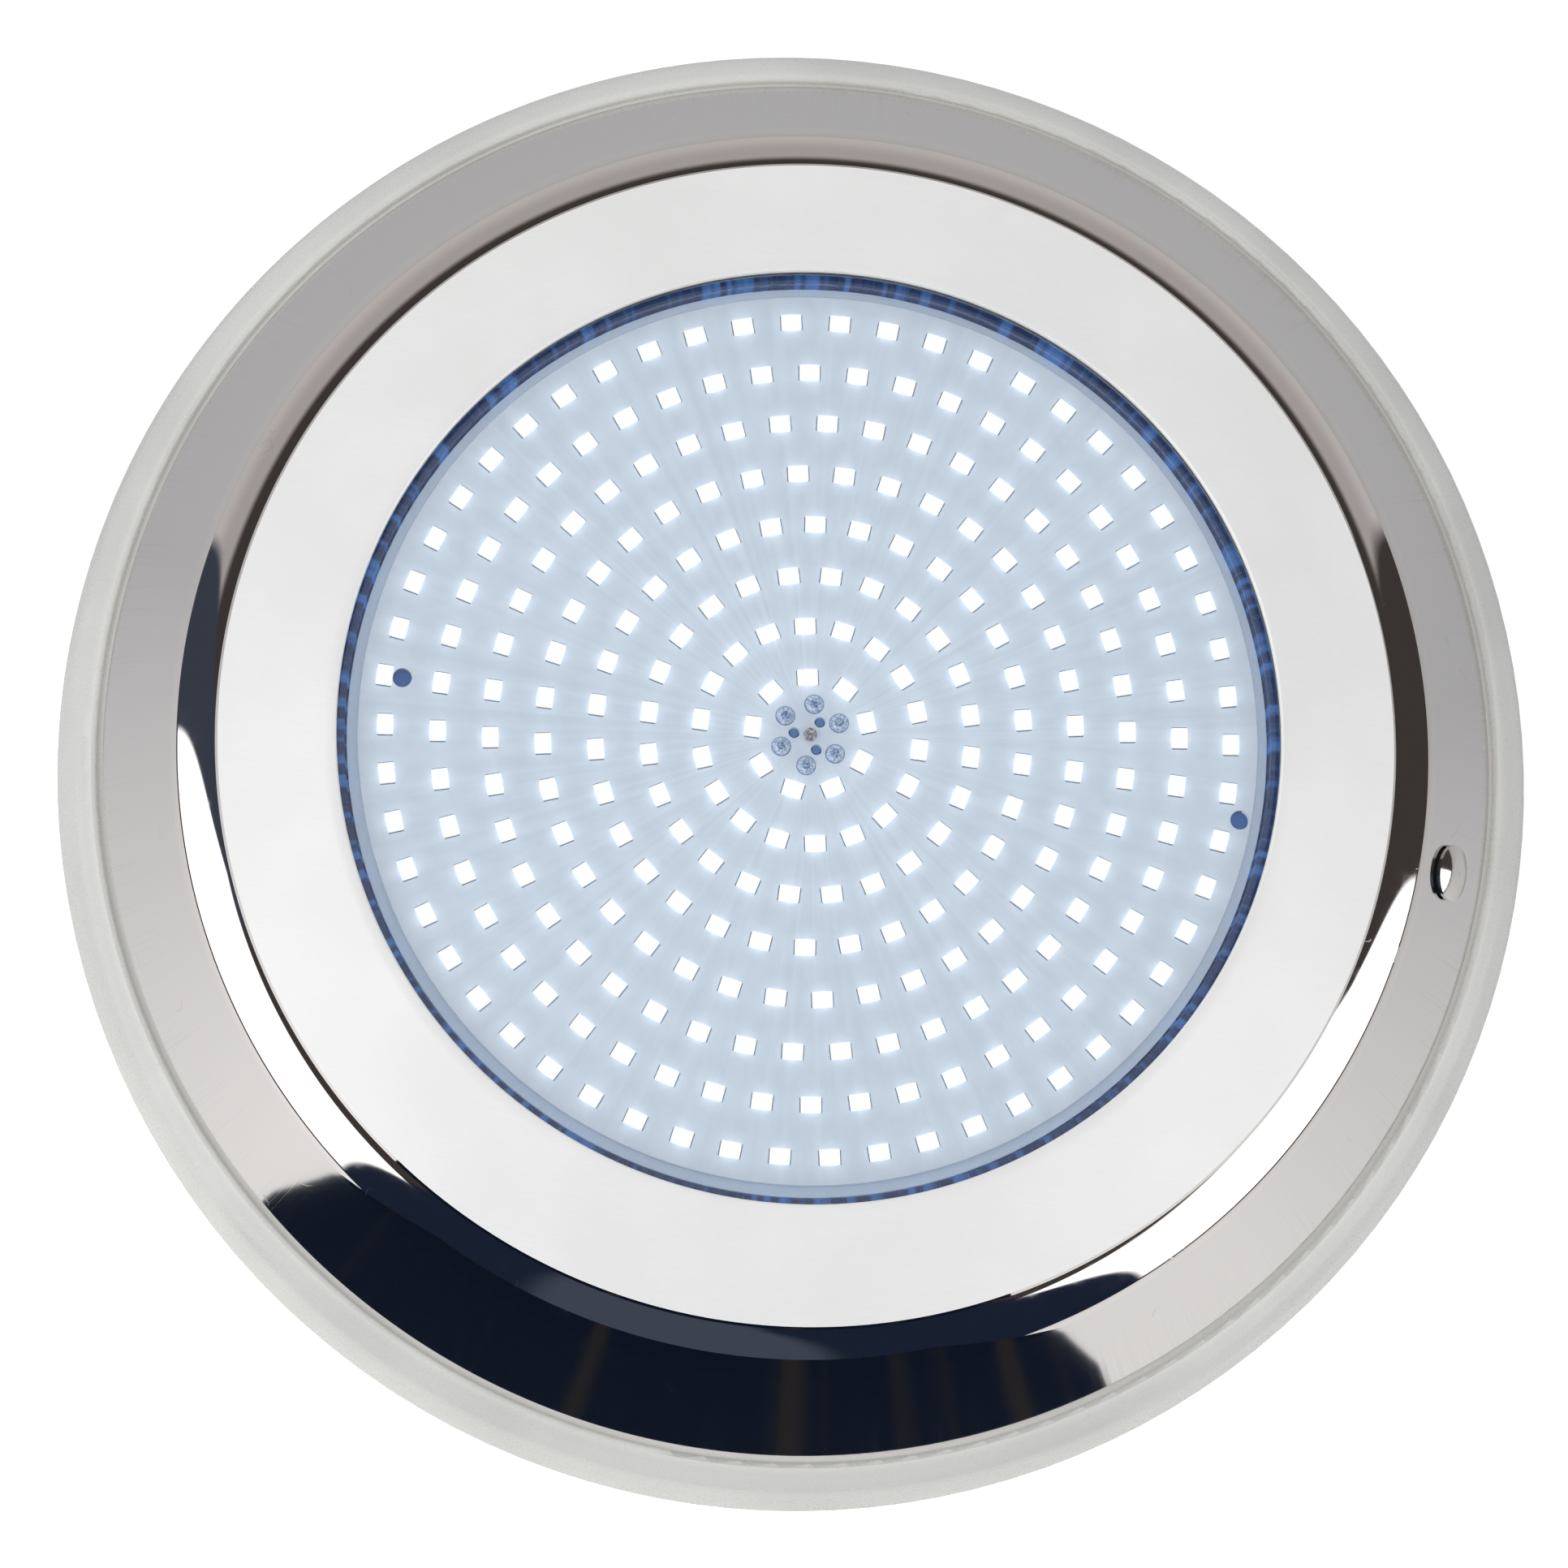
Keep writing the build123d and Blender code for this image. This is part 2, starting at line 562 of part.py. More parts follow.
def make_terminal_block():
    x, y = TERMINAL_BLOCK_SPOT
    body = block((8, 11, 8), x, y, DRIVER_TOP_Z)
    ways = (y - 2.6, y + 2.6)
    ports = [block((6, 3, 3), x + 3, way, DRIVER_TOP_Z + 1.5) for way in ways]
    screws = [Pos(x - 0.5, way, 0) * disc(1.6, DRIVER_TOP_Z + 7, DRIVER_TOP_Z + 9) for way in ways]
    return cut(body, ports + screws)


def make_lead_wires():
    """Wires from the driver, in under the spreader and up through the board."""
    points = ((19, DRIVER_TOP_Z), (19, 30), (WIRE_PCD_R, 30), (WIRE_PCD_R, BOARD_TOP_Z))
    path = Plane.XZ * FilletPolyline(*points, radius=2.4)
    wire = sweep(Plane(origin=path @ 0, z_dir=path % 0) * Circle(WIRE_R), path)
    return Compound(around(wire, 0, WIRE_COUNT, 60 + BOARD_TURN))


def make_gland_body():
    low = GLAND_NUT_Z[0] + 2.7
    body = disc(GLAND_THREAD_R, low, GLAND_TOP_Z) + hexagon(GLAND_FLATS, *GLAND_HEX_Z)
    return cut(body, [disc(GLAND_SEAT_R, low - 1, GLAND_SEAT_TOP_Z), disc(4.6, low, GLAND_TOP_Z + 1)])


def make_gland_washer():
    return tube(GLAND_THREAD_R + 0.1, 11.5, GLAND_HEX_Z[1], BACK_Z)


def make_gland_locknut():
    nut = hexagon(20, CUP_BACK_Z, CUP_BACK_Z + 3)
    return nut - disc(GLAND_THREAD_R + THREAD_GAP, CUP_BACK_Z - 1, CUP_BACK_Z + 4)


def make_gland_seal():
    return tube(CABLE_R, GLAND_SEAT_R - 0.05, GLAND_NUT_Z[0] + 2.7, GLAND_SEAT_TOP_Z)


def make_gland_nut():
    low, high = GLAND_NUT_Z
    crown = turned((0, low), (6.5, low), (9.5, low + 1.2), (10.6, low + 2.4), (0, low + 2.4))
    nut = crown + hexagon(GLAND_FLATS, low + 2.4, high)
    bore = disc(GLAND_THREAD_R + THREAD_GAP, low + 2.6, high + 1)
    return cut(nut, [bore, disc(CABLE_R + 0.8, low - 1, high)])


def make_lock_washer():
    ring = tube(LOCK_SHANK_R + 0.1, LOCK_WASHER_R, 0, LOCK_WASHER_THICK)
    return lock_plane(0) * ring


def make_lock_screw():
    rise = LOCK_HEAD_HEIGHT - LOCK_HEAD_RIM
    dome_r = (LOCK_HEAD_R ** 2 + rise ** 2) / (2 * rise)
    half = LOCK_HEAD_R / 2
    middle = (half, LOCK_HEAD_RIM + (dome_r ** 2 - half ** 2) ** 0.5 - (dome_r - rise))
    outline = [
        Polyline((0, LOCK_HEAD_HEIGHT), (0, -LOCK_LENGTH), (LOCK_SHANK_R - 0.6, -LOCK_LENGTH),
                 (LOCK_SHANK_R, 0.6 - LOCK_LENGTH), (LOCK_SHANK_R, 0), (LOCK_HEAD_R, 0),
                 (LOCK_HEAD_R, LOCK_HEAD_RIM)),
        ThreePointArc((LOCK_HEAD_R, LOCK_HEAD_RIM), middle, (0, LOCK_HEAD_HEIGHT)),
    ]
    screw = revolve(make_face(Plane.XZ * Curve(outline)), Axis.Z)
    return lock_plane(-LOCK_WASHER_THICK) * screw


def all_nodes():
    """Every separate piece by name."""
    nodes = {
        "mounting_base": make_mounting_base(),
        "base_insert": make_base_insert(),
        "steel_cover": make_steel_cover(),
        "cover_hooks": make_cover_hooks(),
        "stud_washers": make_stud_washers(),
        "stud_nuts": make_stud_nuts(),
        "top_gasket": make_top_gasket(),
        "lens": disc(LENS_R, LENS_BOTTOM_Z, LENS_TOP_Z),
        "lens_gasket": tube(SEAL_INNER_R, LENS_R, HOUSING_RIM_Z, LENS_BOTTOM_Z),
        "lamp_housing": make_lamp_housing(),
        "housing_back": make_housing_back(),
        "back_seal": make_back_seal(),
        "back_screws": make_back_screws(),
        "heat_spreader": make_heat_spreader(),
        "spreader_screws": make_spreader_screws(),
        "thermal_pad": make_thermal_pad(),
        "led_board": make_led_board(),
        "board_terminals": make_board_terminals(),
        "board_centre_screw": make_board_centre_screw(),
        "driver_board": make_driver_board(),
        "driver_standoffs": make_driver_standoffs(),
        "driver_screws": make_driver_screws(),
        "capacitors": make_capacitors(),
        "inductor": make_inductor(),
        "bridge_rectifier": make_bridge_rectifier(),
        "driver_chip": make_driver_chip(),
        "terminal_block": make_terminal_block(),
        "lead_wires": make_lead_wires(),
        "gland_body": make_gland_body(),
        "gland_washer": make_gland_washer(),
        "gland_locknut": make_gland_locknut(),
        "gland_seal": make_gland_seal(),
        "gland_nut": make_gland_nut(),
        "lock_washer": make_lock_washer(),
        "lock_screw": make_lock_screw(),
    }
    for index in range(1, RING_COUNT + 1):
        nodes[f"led_ring_{index}"] = make_led_ring(index)
    return nodes


os.makedirs("parts", exist_ok=True)
for node_name, shape in all_nodes().items():
    export_step(shape, f"parts/{node_name}.step")
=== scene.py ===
import json
import math
import bpy
from mathutils import Matrix, Vector


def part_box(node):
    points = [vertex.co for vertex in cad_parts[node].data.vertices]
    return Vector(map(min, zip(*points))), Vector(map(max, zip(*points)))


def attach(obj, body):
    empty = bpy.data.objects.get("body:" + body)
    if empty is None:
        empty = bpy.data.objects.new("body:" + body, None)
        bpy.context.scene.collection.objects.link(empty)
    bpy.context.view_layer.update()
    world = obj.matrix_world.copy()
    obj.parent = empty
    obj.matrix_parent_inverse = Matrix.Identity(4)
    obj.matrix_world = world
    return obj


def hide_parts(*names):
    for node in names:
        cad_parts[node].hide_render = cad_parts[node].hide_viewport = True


# Looks of the underwater pool light. Lengths are millimetres times MM, in the frame of the CAD model:
# the wall is Z = 0, +Z points out of the lamp's face and +X towards the lock screw.
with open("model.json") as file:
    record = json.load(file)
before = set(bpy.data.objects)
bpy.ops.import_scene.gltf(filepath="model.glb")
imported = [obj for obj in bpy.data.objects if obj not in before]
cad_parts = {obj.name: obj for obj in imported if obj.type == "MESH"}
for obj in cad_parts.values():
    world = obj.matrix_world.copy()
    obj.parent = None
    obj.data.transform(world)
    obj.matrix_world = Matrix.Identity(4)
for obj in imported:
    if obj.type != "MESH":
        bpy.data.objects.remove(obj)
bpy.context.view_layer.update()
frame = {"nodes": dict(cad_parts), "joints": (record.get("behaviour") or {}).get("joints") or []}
MM = 0.001

# Steel cover: (radius, height) of its outer skin, slopes measured downwards from level
COVER_TOP = 45.0
WINDOW_R = 81.2
WINDOW_ROUND = 0.5
PLATE_DEG = 13.0
CREASE_R = 101.6
STEP_WALL = (0.45, 0.5)
STEP_TOE = (0.65, 0.1)
SHOULDER_DEG = 10.0
SHOULDER_BEND_R = 11.7
CONE_DEG = 52.0
COVER_R = 122.5
SHEET = 1.0
STUD_R = 1.95
STUD_PCD_R = 94.0
STUD_COUNT = 4
STUD_FIRST_DEG = 45.0
STUD_SPAN = (29.5, 41.5)
LOCK_HOLE_R = 2.8
LOCK_TOOL_REACH = 6.0
LATHE_STEPS = 360

# LED board
RING_COUNT = 8
FIRST_RING_R = 10.0
RING_PITCH = 9.0
BOARD_TURN = math.radians(3.2)
CRAMPED_LED_SHIFT = 0.8
LED_WIDTH = 2.8
LED_LENGTH = 3.5
LED_CORNER = 0.22
LED_PAD = (2.6, 0.75)
LED_PAD_CORNER = 0.08
LED_PAD_OFFSET = 1.56
BOARD_R = 77.8
BOARD_INNER_R = 0.6
BOARD_ROW_PITCH = 0.9
BOARD_ROWS = 86
BOARD_BEVEL = 0.15
GLOW_HALOS = ((0.30, 3.4), (0.12, 18.0))
GLOW_REACH_SQUARED = 80.0
BOARD_HOLE_R = 1.65
BOARD_HOLES = ((70.8, 183.2), (75.7, -0.1))
WIRE_HOLE_R = 0.95
WIRE_HOLES = tuple((2.8, 63.2 + 120 * index) for index in range(3))
CENTRE_HOLE_R = 0.95
JOINT_COUNT = 6
JOINT_PCD_R = 5.4
JOINT_FIRST_DEG = 33.2

# Camera
TARGET = Vector((-2.82, -9.20, 40.0)) * MM
CAMERA_AZIMUTH = math.radians(259.65)
CAMERA_ELEVATION = math.radians(79.82)
CAMERA_ROLL = math.radians(21.30)
CAMERA_DISTANCE = 871.5 * MM
CAMERA_LENS = 116.3


# ---------------------------------------------------------------- shader helpers
def put(tree, kind, inputs=None, output=0, **settings):
    """Adds a node, fills its inputs with values or other nodes' outputs, and returns one of its outputs."""
    node = tree.nodes.new(kind)
    for name, value in settings.items():
        setattr(node, name, value)
    for key, value in (inputs or {}).items():
        if isinstance(value, bpy.types.NodeSocket):
            tree.links.new(value, node.inputs[key])
        else:
            node.inputs[key].default_value = value
    return node.outputs[output] if node.outputs else None


def calc(tree, operation, *values, clamp=False):
    return put(tree, "ShaderNodeMath", dict(enumerate(values)), operation=operation, use_clamp=clamp)


def vector_calc(tree, operation, *values, output=0):
    return put(tree, "ShaderNodeVectorMath", dict(enumerate(values)), output, operation=operation)


def blend_colours(tree, factor, low, high):
    """Mix of two colours; a colour is three numbers or a socket."""
    colours = [c if isinstance(c, bpy.types.NodeSocket) else (*c, 1.0) for c in (low, high)]
    inputs = {0: factor, 6: colours[0], 7: colours[1]}
    return put(tree, "ShaderNodeMix", inputs, 2, data_type="RGBA")


def ramp(tree, value, low, high, to_low=0.0, to_high=1.0, smooth=True):
    """Value mapped from one range to another, clamped."""
    kind = "SMOOTHSTEP" if smooth else "LINEAR"
    inputs = {0: value, 1: low, 2: high, 3: to_low, 4: to_high}
    return put(tree, "ShaderNodeMapRange", inputs, interpolation_type=kind)


def noise(tree, where, scale, detail=3.0, roughness=0.55):
    inputs = {"Vector": where, "Scale": scale, "Detail": detail, "Roughness": roughness}
    return put(tree, "ShaderNodeTexNoise", inputs)


def place(tree):
    """Position on the object, in metres."""
    return put(tree, "ShaderNodeTexCoord", output=3)


def radius_of(tree, where):
    """Distance from the lamp's axis."""
    flat = vector_calc(tree, "MULTIPLY", where, (1.0, 1.0, 0.0))
    return vector_calc(tree, "LENGTH", flat, output=1)


def bearing_of(tree, where):
    """Unit vector from the lamp's axis, which has no seam."""
    flat = vector_calc(tree, "MULTIPLY", where, (1.0, 1.0, 0.0))
    return vector_calc(tree, "NORMALIZE", flat)


def new_material(name):
    """Empty material with a Principled shader. Returns the material, its node tree and the shader."""
    material = bpy.data.materials.new(name)
    material.use_nodes = True
    shader = material.node_tree.nodes["Principled BSDF"]
    return material, material.node_tree, shader


def set_sockets(shader, **values):
    for name, value in values.items():
        shader.inputs[name.replace("_", " ")].default_value = value


def bump(tree, shader, height, strength, distance):
    normal = put(tree, "ShaderNodeBump", {"Height": height, "Strength": strength, "Distance": distance})
    tree.links.new(normal, shader.inputs["Normal"])


def finish(name, low, high, roughness, metallic=0.0, patch=0.012, grain=0.0004, depth=0.04, **sockets):
    """General surface: slow drift between two colours, fine grain in roughness and relief."""
    material, tree, shader = new_material(name)
    where = place(tree)
    drift = ramp(tree, noise(tree, where, 1 / patch), 0.3, 0.7)
    fine = noise(tree, where, 1 / grain, detail=2.0)
    tree.links.new(blend_colours(tree, drift, low, high), shader.inputs["Base Color"])
    spread = ramp(tree, fine, 0.25, 0.75, roughness * 0.85, min(1.0, roughness * 1.2), smooth=False)
    tree.links.new(spread, shader.inputs["Roughness"])
    set_sockets(shader, Metallic=metallic, **sockets)
    bump(tree, shader, fine, depth, grain)
    return material


# ---------------------------------------------------------------- materials of the visible parts
def satin_steel():
    """Plate of the cover: finely brushed, off-white."""
    material, tree, shader = new_material("steel_satin")
    where = place(tree)
    stretched = vector_calc(tree, "MULTIPLY", where, (260.0, 5200.0, 260.0))
    brush = noise(tree, stretched, 1.0, detail=4.0)
    cloud = noise(tree, where, 38.0, detail=2.0)
    tone = calc(tree, "ADD", calc(tree, "MULTIPLY", brush, 0.35), calc(tree, "MULTIPLY", cloud, 0.65))
    colour = blend_colours(tree, ramp(tree, tone, 0.35, 0.65), (0.765, 0.76, 0.745), (0.805, 0.80, 0.785))
    tree.links.new(colour, shader.inputs["Base Color"])
    tree.links.new(ramp(tree, brush, 0.2, 0.8, 0.40, 0.52, smooth=False), shader.inputs["Roughness"])
    set_sockets(shader, Metallic=0.18)
    bump(tree, shader, brush, 0.05, 0.00005)
    return material


def scratch_mask(tree, where, scale, width):
    """Thin broken lines: the zero crossings of a noise, kept only in patches of another noise."""
    line = calc(tree, "ABSOLUTE", calc(tree, "SUBTRACT", noise(tree, where, scale, detail=1.0), 0.5))
    thin = ramp(tree, line, 0.0, width, 1.0, 0.0)
    patches = ramp(tree, noise(tree, where, scale * 1.7, detail=2.0), 0.60, 0.68)
    return calc(tree, "MULTIPLY", thin, patches)


def polished_steel():
    """Shoulder, step and window edge: mirror polish with fine scratches and faint smudges."""
    material, tree, shader = new_material("steel_polished")
    where = place(tree)
    smudge = ramp(tree, noise(tree, where, 160.0, detail=6.0, roughness=0.7), 0.5, 0.75)
    scratches = scratch_mask(tree, where, 85.0, 0.006)
    marks = calc(tree, "MAXIMUM", calc(tree, "MULTIPLY", smudge, 0.35), scratches)
    colour = blend_colours(tree, marks, (0.66, 0.635, 0.62), (0.60, 0.585, 0.58))
    tree.links.new(colour, shader.inputs["Base Color"])
    tree.links.new(ramp(tree, marks, 0.0, 1.0, 0.035, 0.16, smooth=False), shader.inputs["Roughness"])
    set_sockets(shader, Metallic=1.0)
    bump(tree, shader, scratches, 0.12, 0.00002)
    return material


def cone_steel():
    """Cone of the cover: polished, with radial hairlines that grow towards the edge, and a few scratches."""
    material, tree, shader = new_material("steel_cone")
    where = place(tree)
    bearing = bearing_of(tree, where)
    radius = radius_of(tree, where)
    hair = noise(tree, bearing, 210.0, detail=3.0, roughness=0.7)
    near_edge = ramp(tree, radius, 0.112, COVER_R * MM, 0.15, 1.0)
    streaks = calc(tree, "MULTIPLY", ramp(tree, hair, 0.52, 0.72), near_edge)
    scratches = scratch_mask(tree, where, 70.0, 0.007)
    marks = calc(tree, "MAXIMUM", calc(tree, "MULTIPLY", streaks, 0.6), scratches)
    colour = blend_colours(tree, marks, (0.63, 0.617, 0.610), (0.55, 0.538, 0.532))
    tree.links.new(colour, shader.inputs["Base Color"])
    tree.links.new(ramp(tree, marks, 0.0, 1.0, 0.09, 0.22, smooth=False), shader.inputs["Roughness"])
    set_sockets(shader, Metallic=1.0)
    bump(tree, shader, marks, 0.10, 0.00003)
    return material


def frosted_plastic():
    """Wall base: pale, faintly translucent, semi-gloss plastic, with painted light glowing on its inner lip.
    """
    material, tree, shader = new_material("base_plastic")
    where = place(tree)
    cloud = noise(tree, where, 24.0, detail=3.0)
    colour = blend_colours(tree, ramp(tree, cloud, 0.35, 0.65), (0.505, 0.505, 0.485), (0.560, 0.560, 0.538))
    fine = noise(tree, where, 1500.0, detail=2.0)
    flow = noise(tree, vector_calc(tree, "MULTIPLY", bearing_of(tree, where), (9.0, 9.0, 9.0)), 1.0)
    tree.links.new(colour, shader.inputs["Base Color"])
    rough = calc(tree, "ADD", ramp(tree, fine, 0.2, 0.8, 0.22, 0.30), calc(tree, "MULTIPLY", flow, 0.06))
    tree.links.new(rough, shader.inputs["Roughness"])
    # Painted light: the inner lip beside the cover's edge glows faintly in the emission, lifting the shade
    # of the gap there.
    painted_lip_glow_mask = ramp(tree, radius_of(tree, where), 0.1225, 0.1262, 1.0, 0.0)
    soft = blend_colours(tree, painted_lip_glow_mask, (0.0, 0.0, 0.0), (0.17, 0.16, 0.15))
    tree.links.new(soft, shader.inputs["Emission Color"])
    set_sockets(shader, IOR=1.49, Subsurface_Weight=0.15, Subsurface_Scale=0.003,
                Subsurface_Radius=(1.0, 1.0, 0.9), Emission_Strength=1.0)
    bump(tree, shader, fine, 0.004, 0.0001)
    material.cycles.emission_sampling = "NONE"
    return material


def clear_lens():
    """Flat clear lens, smooth, with hardly visible wipe marks."""
    material, tree, shader = new_material("lens_clear")
    where = place(tree)
    wipe = noise(tree, vector_calc(tree, "MULTIPLY", where, (60.0, 14.0, 60.0)), 1.0, detail=4.0)
    tree.links.new(ramp(tree, wipe, 0.55, 0.8, 0.0, 0.02), shader.inputs["Roughness"])
    tint = blend_colours(tree, wipe, (0.955, 0.975, 0.99), (0.97, 0.985, 1.0))
    tree.links.new(tint, shader.inputs["Base Color"])
    set_sockets(shader, IOR=1.47, Transmission_Weight=1.0)
    return material


def blue_wall():
    """Dark blue glossy wall of the lamp, its blue a painted shade tinted by the LEDs, with vertical streaks
    of painted LED light in the emission.
    """
    material, tree, shader = new_material("housing_blue_black")
    where = place(tree)
    bearing = bearing_of(tree, where)
    broad = noise(tree, bearing, 6.0, detail=2.0)
    fine = noise(tree, bearing, 55.0, detail=3.0)
    tone = calc(tree, "ADD", calc(tree, "MULTIPLY", broad, 0.5), calc(tree, "MULTIPLY", fine, 0.5))
    # Painted shade: the dark blue stands for the wall in shade under the LEDs' blue light.
    colour = blend_colours(tree, ramp(tree, tone, 0.42, 0.62), (0.010, 0.030, 0.110), (0.016, 0.055, 0.18))
    tree.links.new(colour, shader.inputs["Base Color"])
    tree.links.new(ramp(tree, fine, 0.3, 0.7, 0.16, 0.30), shader.inputs["Roughness"])
    # Painted light: streaks of LED light glowing on the wall in the emission.
    streaks = ramp(tree, noise(tree, bearing, 34.0, detail=1.0), 0.48, 0.66)
    glow = blend_colours(tree, streaks, (0.004, 0.014, 0.055), (0.05, 0.17, 0.46))
    tree.links.new(glow, shader.inputs["Emission Color"])
    set_sockets(shader, Emission_Strength=0.55)
    bump(tree, shader, fine, 0.05, 0.0001)
    material.cycles.emission_sampling = "NONE"
    return material


def lit_board():
    """White solder mask lit by its LEDs: pale blue, brighter round each LED, with faint radial streaks."""
    material, tree, shader = new_material("board_white")
    where = place(tree)
    glow = put(tree, "ShaderNodeAttribute", output=2, attribute_name="glow")
    streaks = noise(tree, bearing_of(tree, where), 26.0, detail=4.0)
    mottle = noise(tree, where, 300.0, detail=3.0)
    tone = calc(tree, "ADD", calc(tree, "MULTIPLY", streaks, 0.6), calc(tree, "MULTIPLY", mottle, 0.4))
    base = blend_colours(tree, ramp(tree, tone, 0.35, 0.65), (0.58, 0.64, 0.70), (0.66, 0.71, 0.76))
    tree.links.new(base, shader.inputs["Base Color"])
    light = blend_colours(tree, glow, (0.20, 0.24, 0.30), (0.76, 0.85, 0.96))
    tree.links.new(light, shader.inputs["Emission Color"])
    tree.links.new(ramp(tree, glow, 0.0, 1.0, 0.55, 1.25, smooth=False), shader.inputs["Emission Strength"])
    tree.links.new(ramp(tree, mottle, 0.3, 0.7, 0.30, 0.42), shader.inputs["Roughness"])
    bump(tree, shader, mottle, 0.08, 0.0001)
    material.cycles.emission_sampling = "NONE"
    return material


def lit_aluminium():
    """Heat spreader: pale blue rim beside the board with painted LED light in its colour and emission, and
    painted shade of deep blue where it shows through the board's holes.
    """
    material, tree, shader = new_material("aluminium")
    where = place(tree)
    outside = ramp(tree, radius_of(tree, where), (BOARD_R - 0.5) * MM, (BOARD_R - 0.1) * MM)
    machined = noise(tree, vector_calc(tree, "MULTIPLY", where, (900.0, 900.0, 300.0)), 1.0, detail=3.0)
    # Painted shade: deep blue where the spreader shows through the board's holes; the pale rim's bluish tone
    # is painted LED light.
    painted_hole_shade = blend_colours(tree, machined, (0.020, 0.065, 0.20), (0.032, 0.095, 0.26))
    pale = blend_colours(tree, machined, (0.56, 0.64, 0.72), (0.68, 0.75, 0.82))
    tree.links.new(blend_colours(tree, outside, painted_hole_shade, pale), shader.inputs["Base Color"])
    # Painted light: both parts glow in the emission, the rim most.
    tree.links.new(blend_colours(tree, outside, (0.016, 0.05, 0.14), (0.09, 0.115, 0.145)),
                   shader.inputs["Emission Color"])
    tree.links.new(ramp(tree, machined, 0.3, 0.7, 0.30, 0.42), shader.inputs["Roughness"])
    set_sockets(shader, Metallic=0.2, Emission_Strength=1.0)
    material.cycles.emission_sampling = "NONE"
    return material


def outlined_solder():
    """Tinned joints, their light painted: blue outline, pale ring and speckled middle, round each of the
    joints, tinted blue by painted LED light, with pale flecks of painted highlights.
    """
    material, tree, shader = new_material("solder")
    where = place(tree)
    split = put(tree, "ShaderNodeSeparateXYZ", {0: where}).node
    angle = calc(tree, "ARCTAN2", split.outputs[1], split.outputs[0])
    first = math.radians(JOINT_FIRST_DEG)
    step = 2 * math.pi / JOINT_COUNT
    nearest = calc(tree, "ROUND", calc(tree, "DIVIDE", calc(tree, "SUBTRACT", angle, first), step))
    centre = calc(tree, "ADD", first, calc(tree, "MULTIPLY", step, nearest))
    across = []
    for axis, kind in ((0, "COSINE"), (1, "SINE")):
        spot = calc(tree, "MULTIPLY", JOINT_PCD_R * MM, calc(tree, kind, centre))
        across.append(calc(tree, "SUBTRACT", split.outputs[axis], spot))
    offset = put(tree, "ShaderNodeCombineXYZ", {0: across[0], 1: across[1]})
    gap = vector_calc(tree, "LENGTH", offset, output=1)
    speckle = noise(tree, where, 2600.0, detail=3.0)
    middle = ramp(tree, gap, 0.0006, 0.0009, 1.0, 0.0)
    rim = ramp(tree, gap, 0.00152, 0.00160)
    # Painted light: the blues stand for the LEDs' light on the tin, and the near-white flecks are painted
    # highlights.
    pale = blend_colours(tree, ramp(tree, speckle, 0.42, 0.60), (0.34, 0.47, 0.72), (0.88, 0.92, 0.97))
    core = blend_colours(tree, ramp(tree, speckle, 0.45, 0.58), (0.09, 0.18, 0.42), (0.50, 0.62, 0.80))
    colour = blend_colours(tree, rim, blend_colours(tree, middle, pale, core), (0.12, 0.24, 0.52))
    tree.links.new(colour, shader.inputs["Base Color"])
    tree.links.new(ramp(tree, speckle, 0.3, 0.7, 0.30, 0.50), shader.inputs["Roughness"])
    set_sockets(shader, Metallic=0.15)
    bump(tree, shader, speckle, 0.25, 0.0002)
    return material


def lit_surface(name, colour, light, strength, roughness):
    """Small part of an LED that gives light."""
    material, tree, shader = new_material(name)
    speckle = noise(tree, place(tree), 2500.0, detail=2.0)
    tint = blend_colours(tree, speckle, [0.94 * value for value in colour], colour)
    tree.links.new(tint, shader.inputs["Base Color"])
    tree.links.new(blend_colours(tree, speckle, [0.95 * value for value in light], light),
                   shader.inputs["Emission Color"])
    spread = ramp(tree, speckle, 0.2, 0.8, roughness * 0.9, roughness * 1.1)
    tree.links.new(spread, shader.inputs["Roughness"])
    set_sockets(shader, Emission_Strength=strength)
    material.cycles.emission_sampling = "NONE"
    return material


# ---------------------------------------------------------------- mesh helpers
def mesh_object(name, verts, faces, materials, indices=None, smooth_deg=30.0):
    """Object from points in millimetres, smooth except at sharp edges."""
    mesh = bpy.data.meshes.new(name)
    mesh.from_pydata([(x * MM, y * MM, z * MM) for x, y, z in verts], [], faces)
    for material in materials:
        mesh.materials.append(material)
    if indices:
        mesh.polygons.foreach_set("material_index", indices)
    mesh.shade_smooth()
    mesh.set_sharp_from_angle(angle=math.radians(smooth_deg))
    obj = bpy.data.objects.new(name, mesh)
    bpy.context.scene.collection.objects.link(obj)
    return obj


def arc_points(start, radius, first_deg, last_deg, step_deg=3.0):
    """Points of an outer skin's arc after its start, from the slope of the skin."""
    steps = max(1, round(abs(last_deg - first_deg) / step_deg))
    points = []
    for index in range(1, steps + 1):
        slope = math.radians(first_deg + (last_deg - first_deg) * index / steps)
        first = math.radians(first_deg)
        points.append((start[0] + radius * (math.sin(slope) - math.sin(first)),
                       start[1] - radius * (math.cos(first) - math.cos(slope))))
    return points


def below(point, slope_deg, depth):
    """Point under a sloping skin, square to it."""
    slope = math.radians(slope_deg)
    return (point[0] - depth * math.sin(slope), point[1] - depth * math.cos(slope))


def divided(points, longest=2.0):
    """Outline with no straight stretch longer than a limit."""
    result = [points[0]]
    for a, b in zip(points, points[1:]):
        count = max(1, math.ceil(math.dist(a, b) / longest))
        result += [(a[0] + (b[0] - a[0]) * i / count, a[1] + (b[1] - a[1]) * i / count)
                   for i in range(1, count + 1)]
    return result


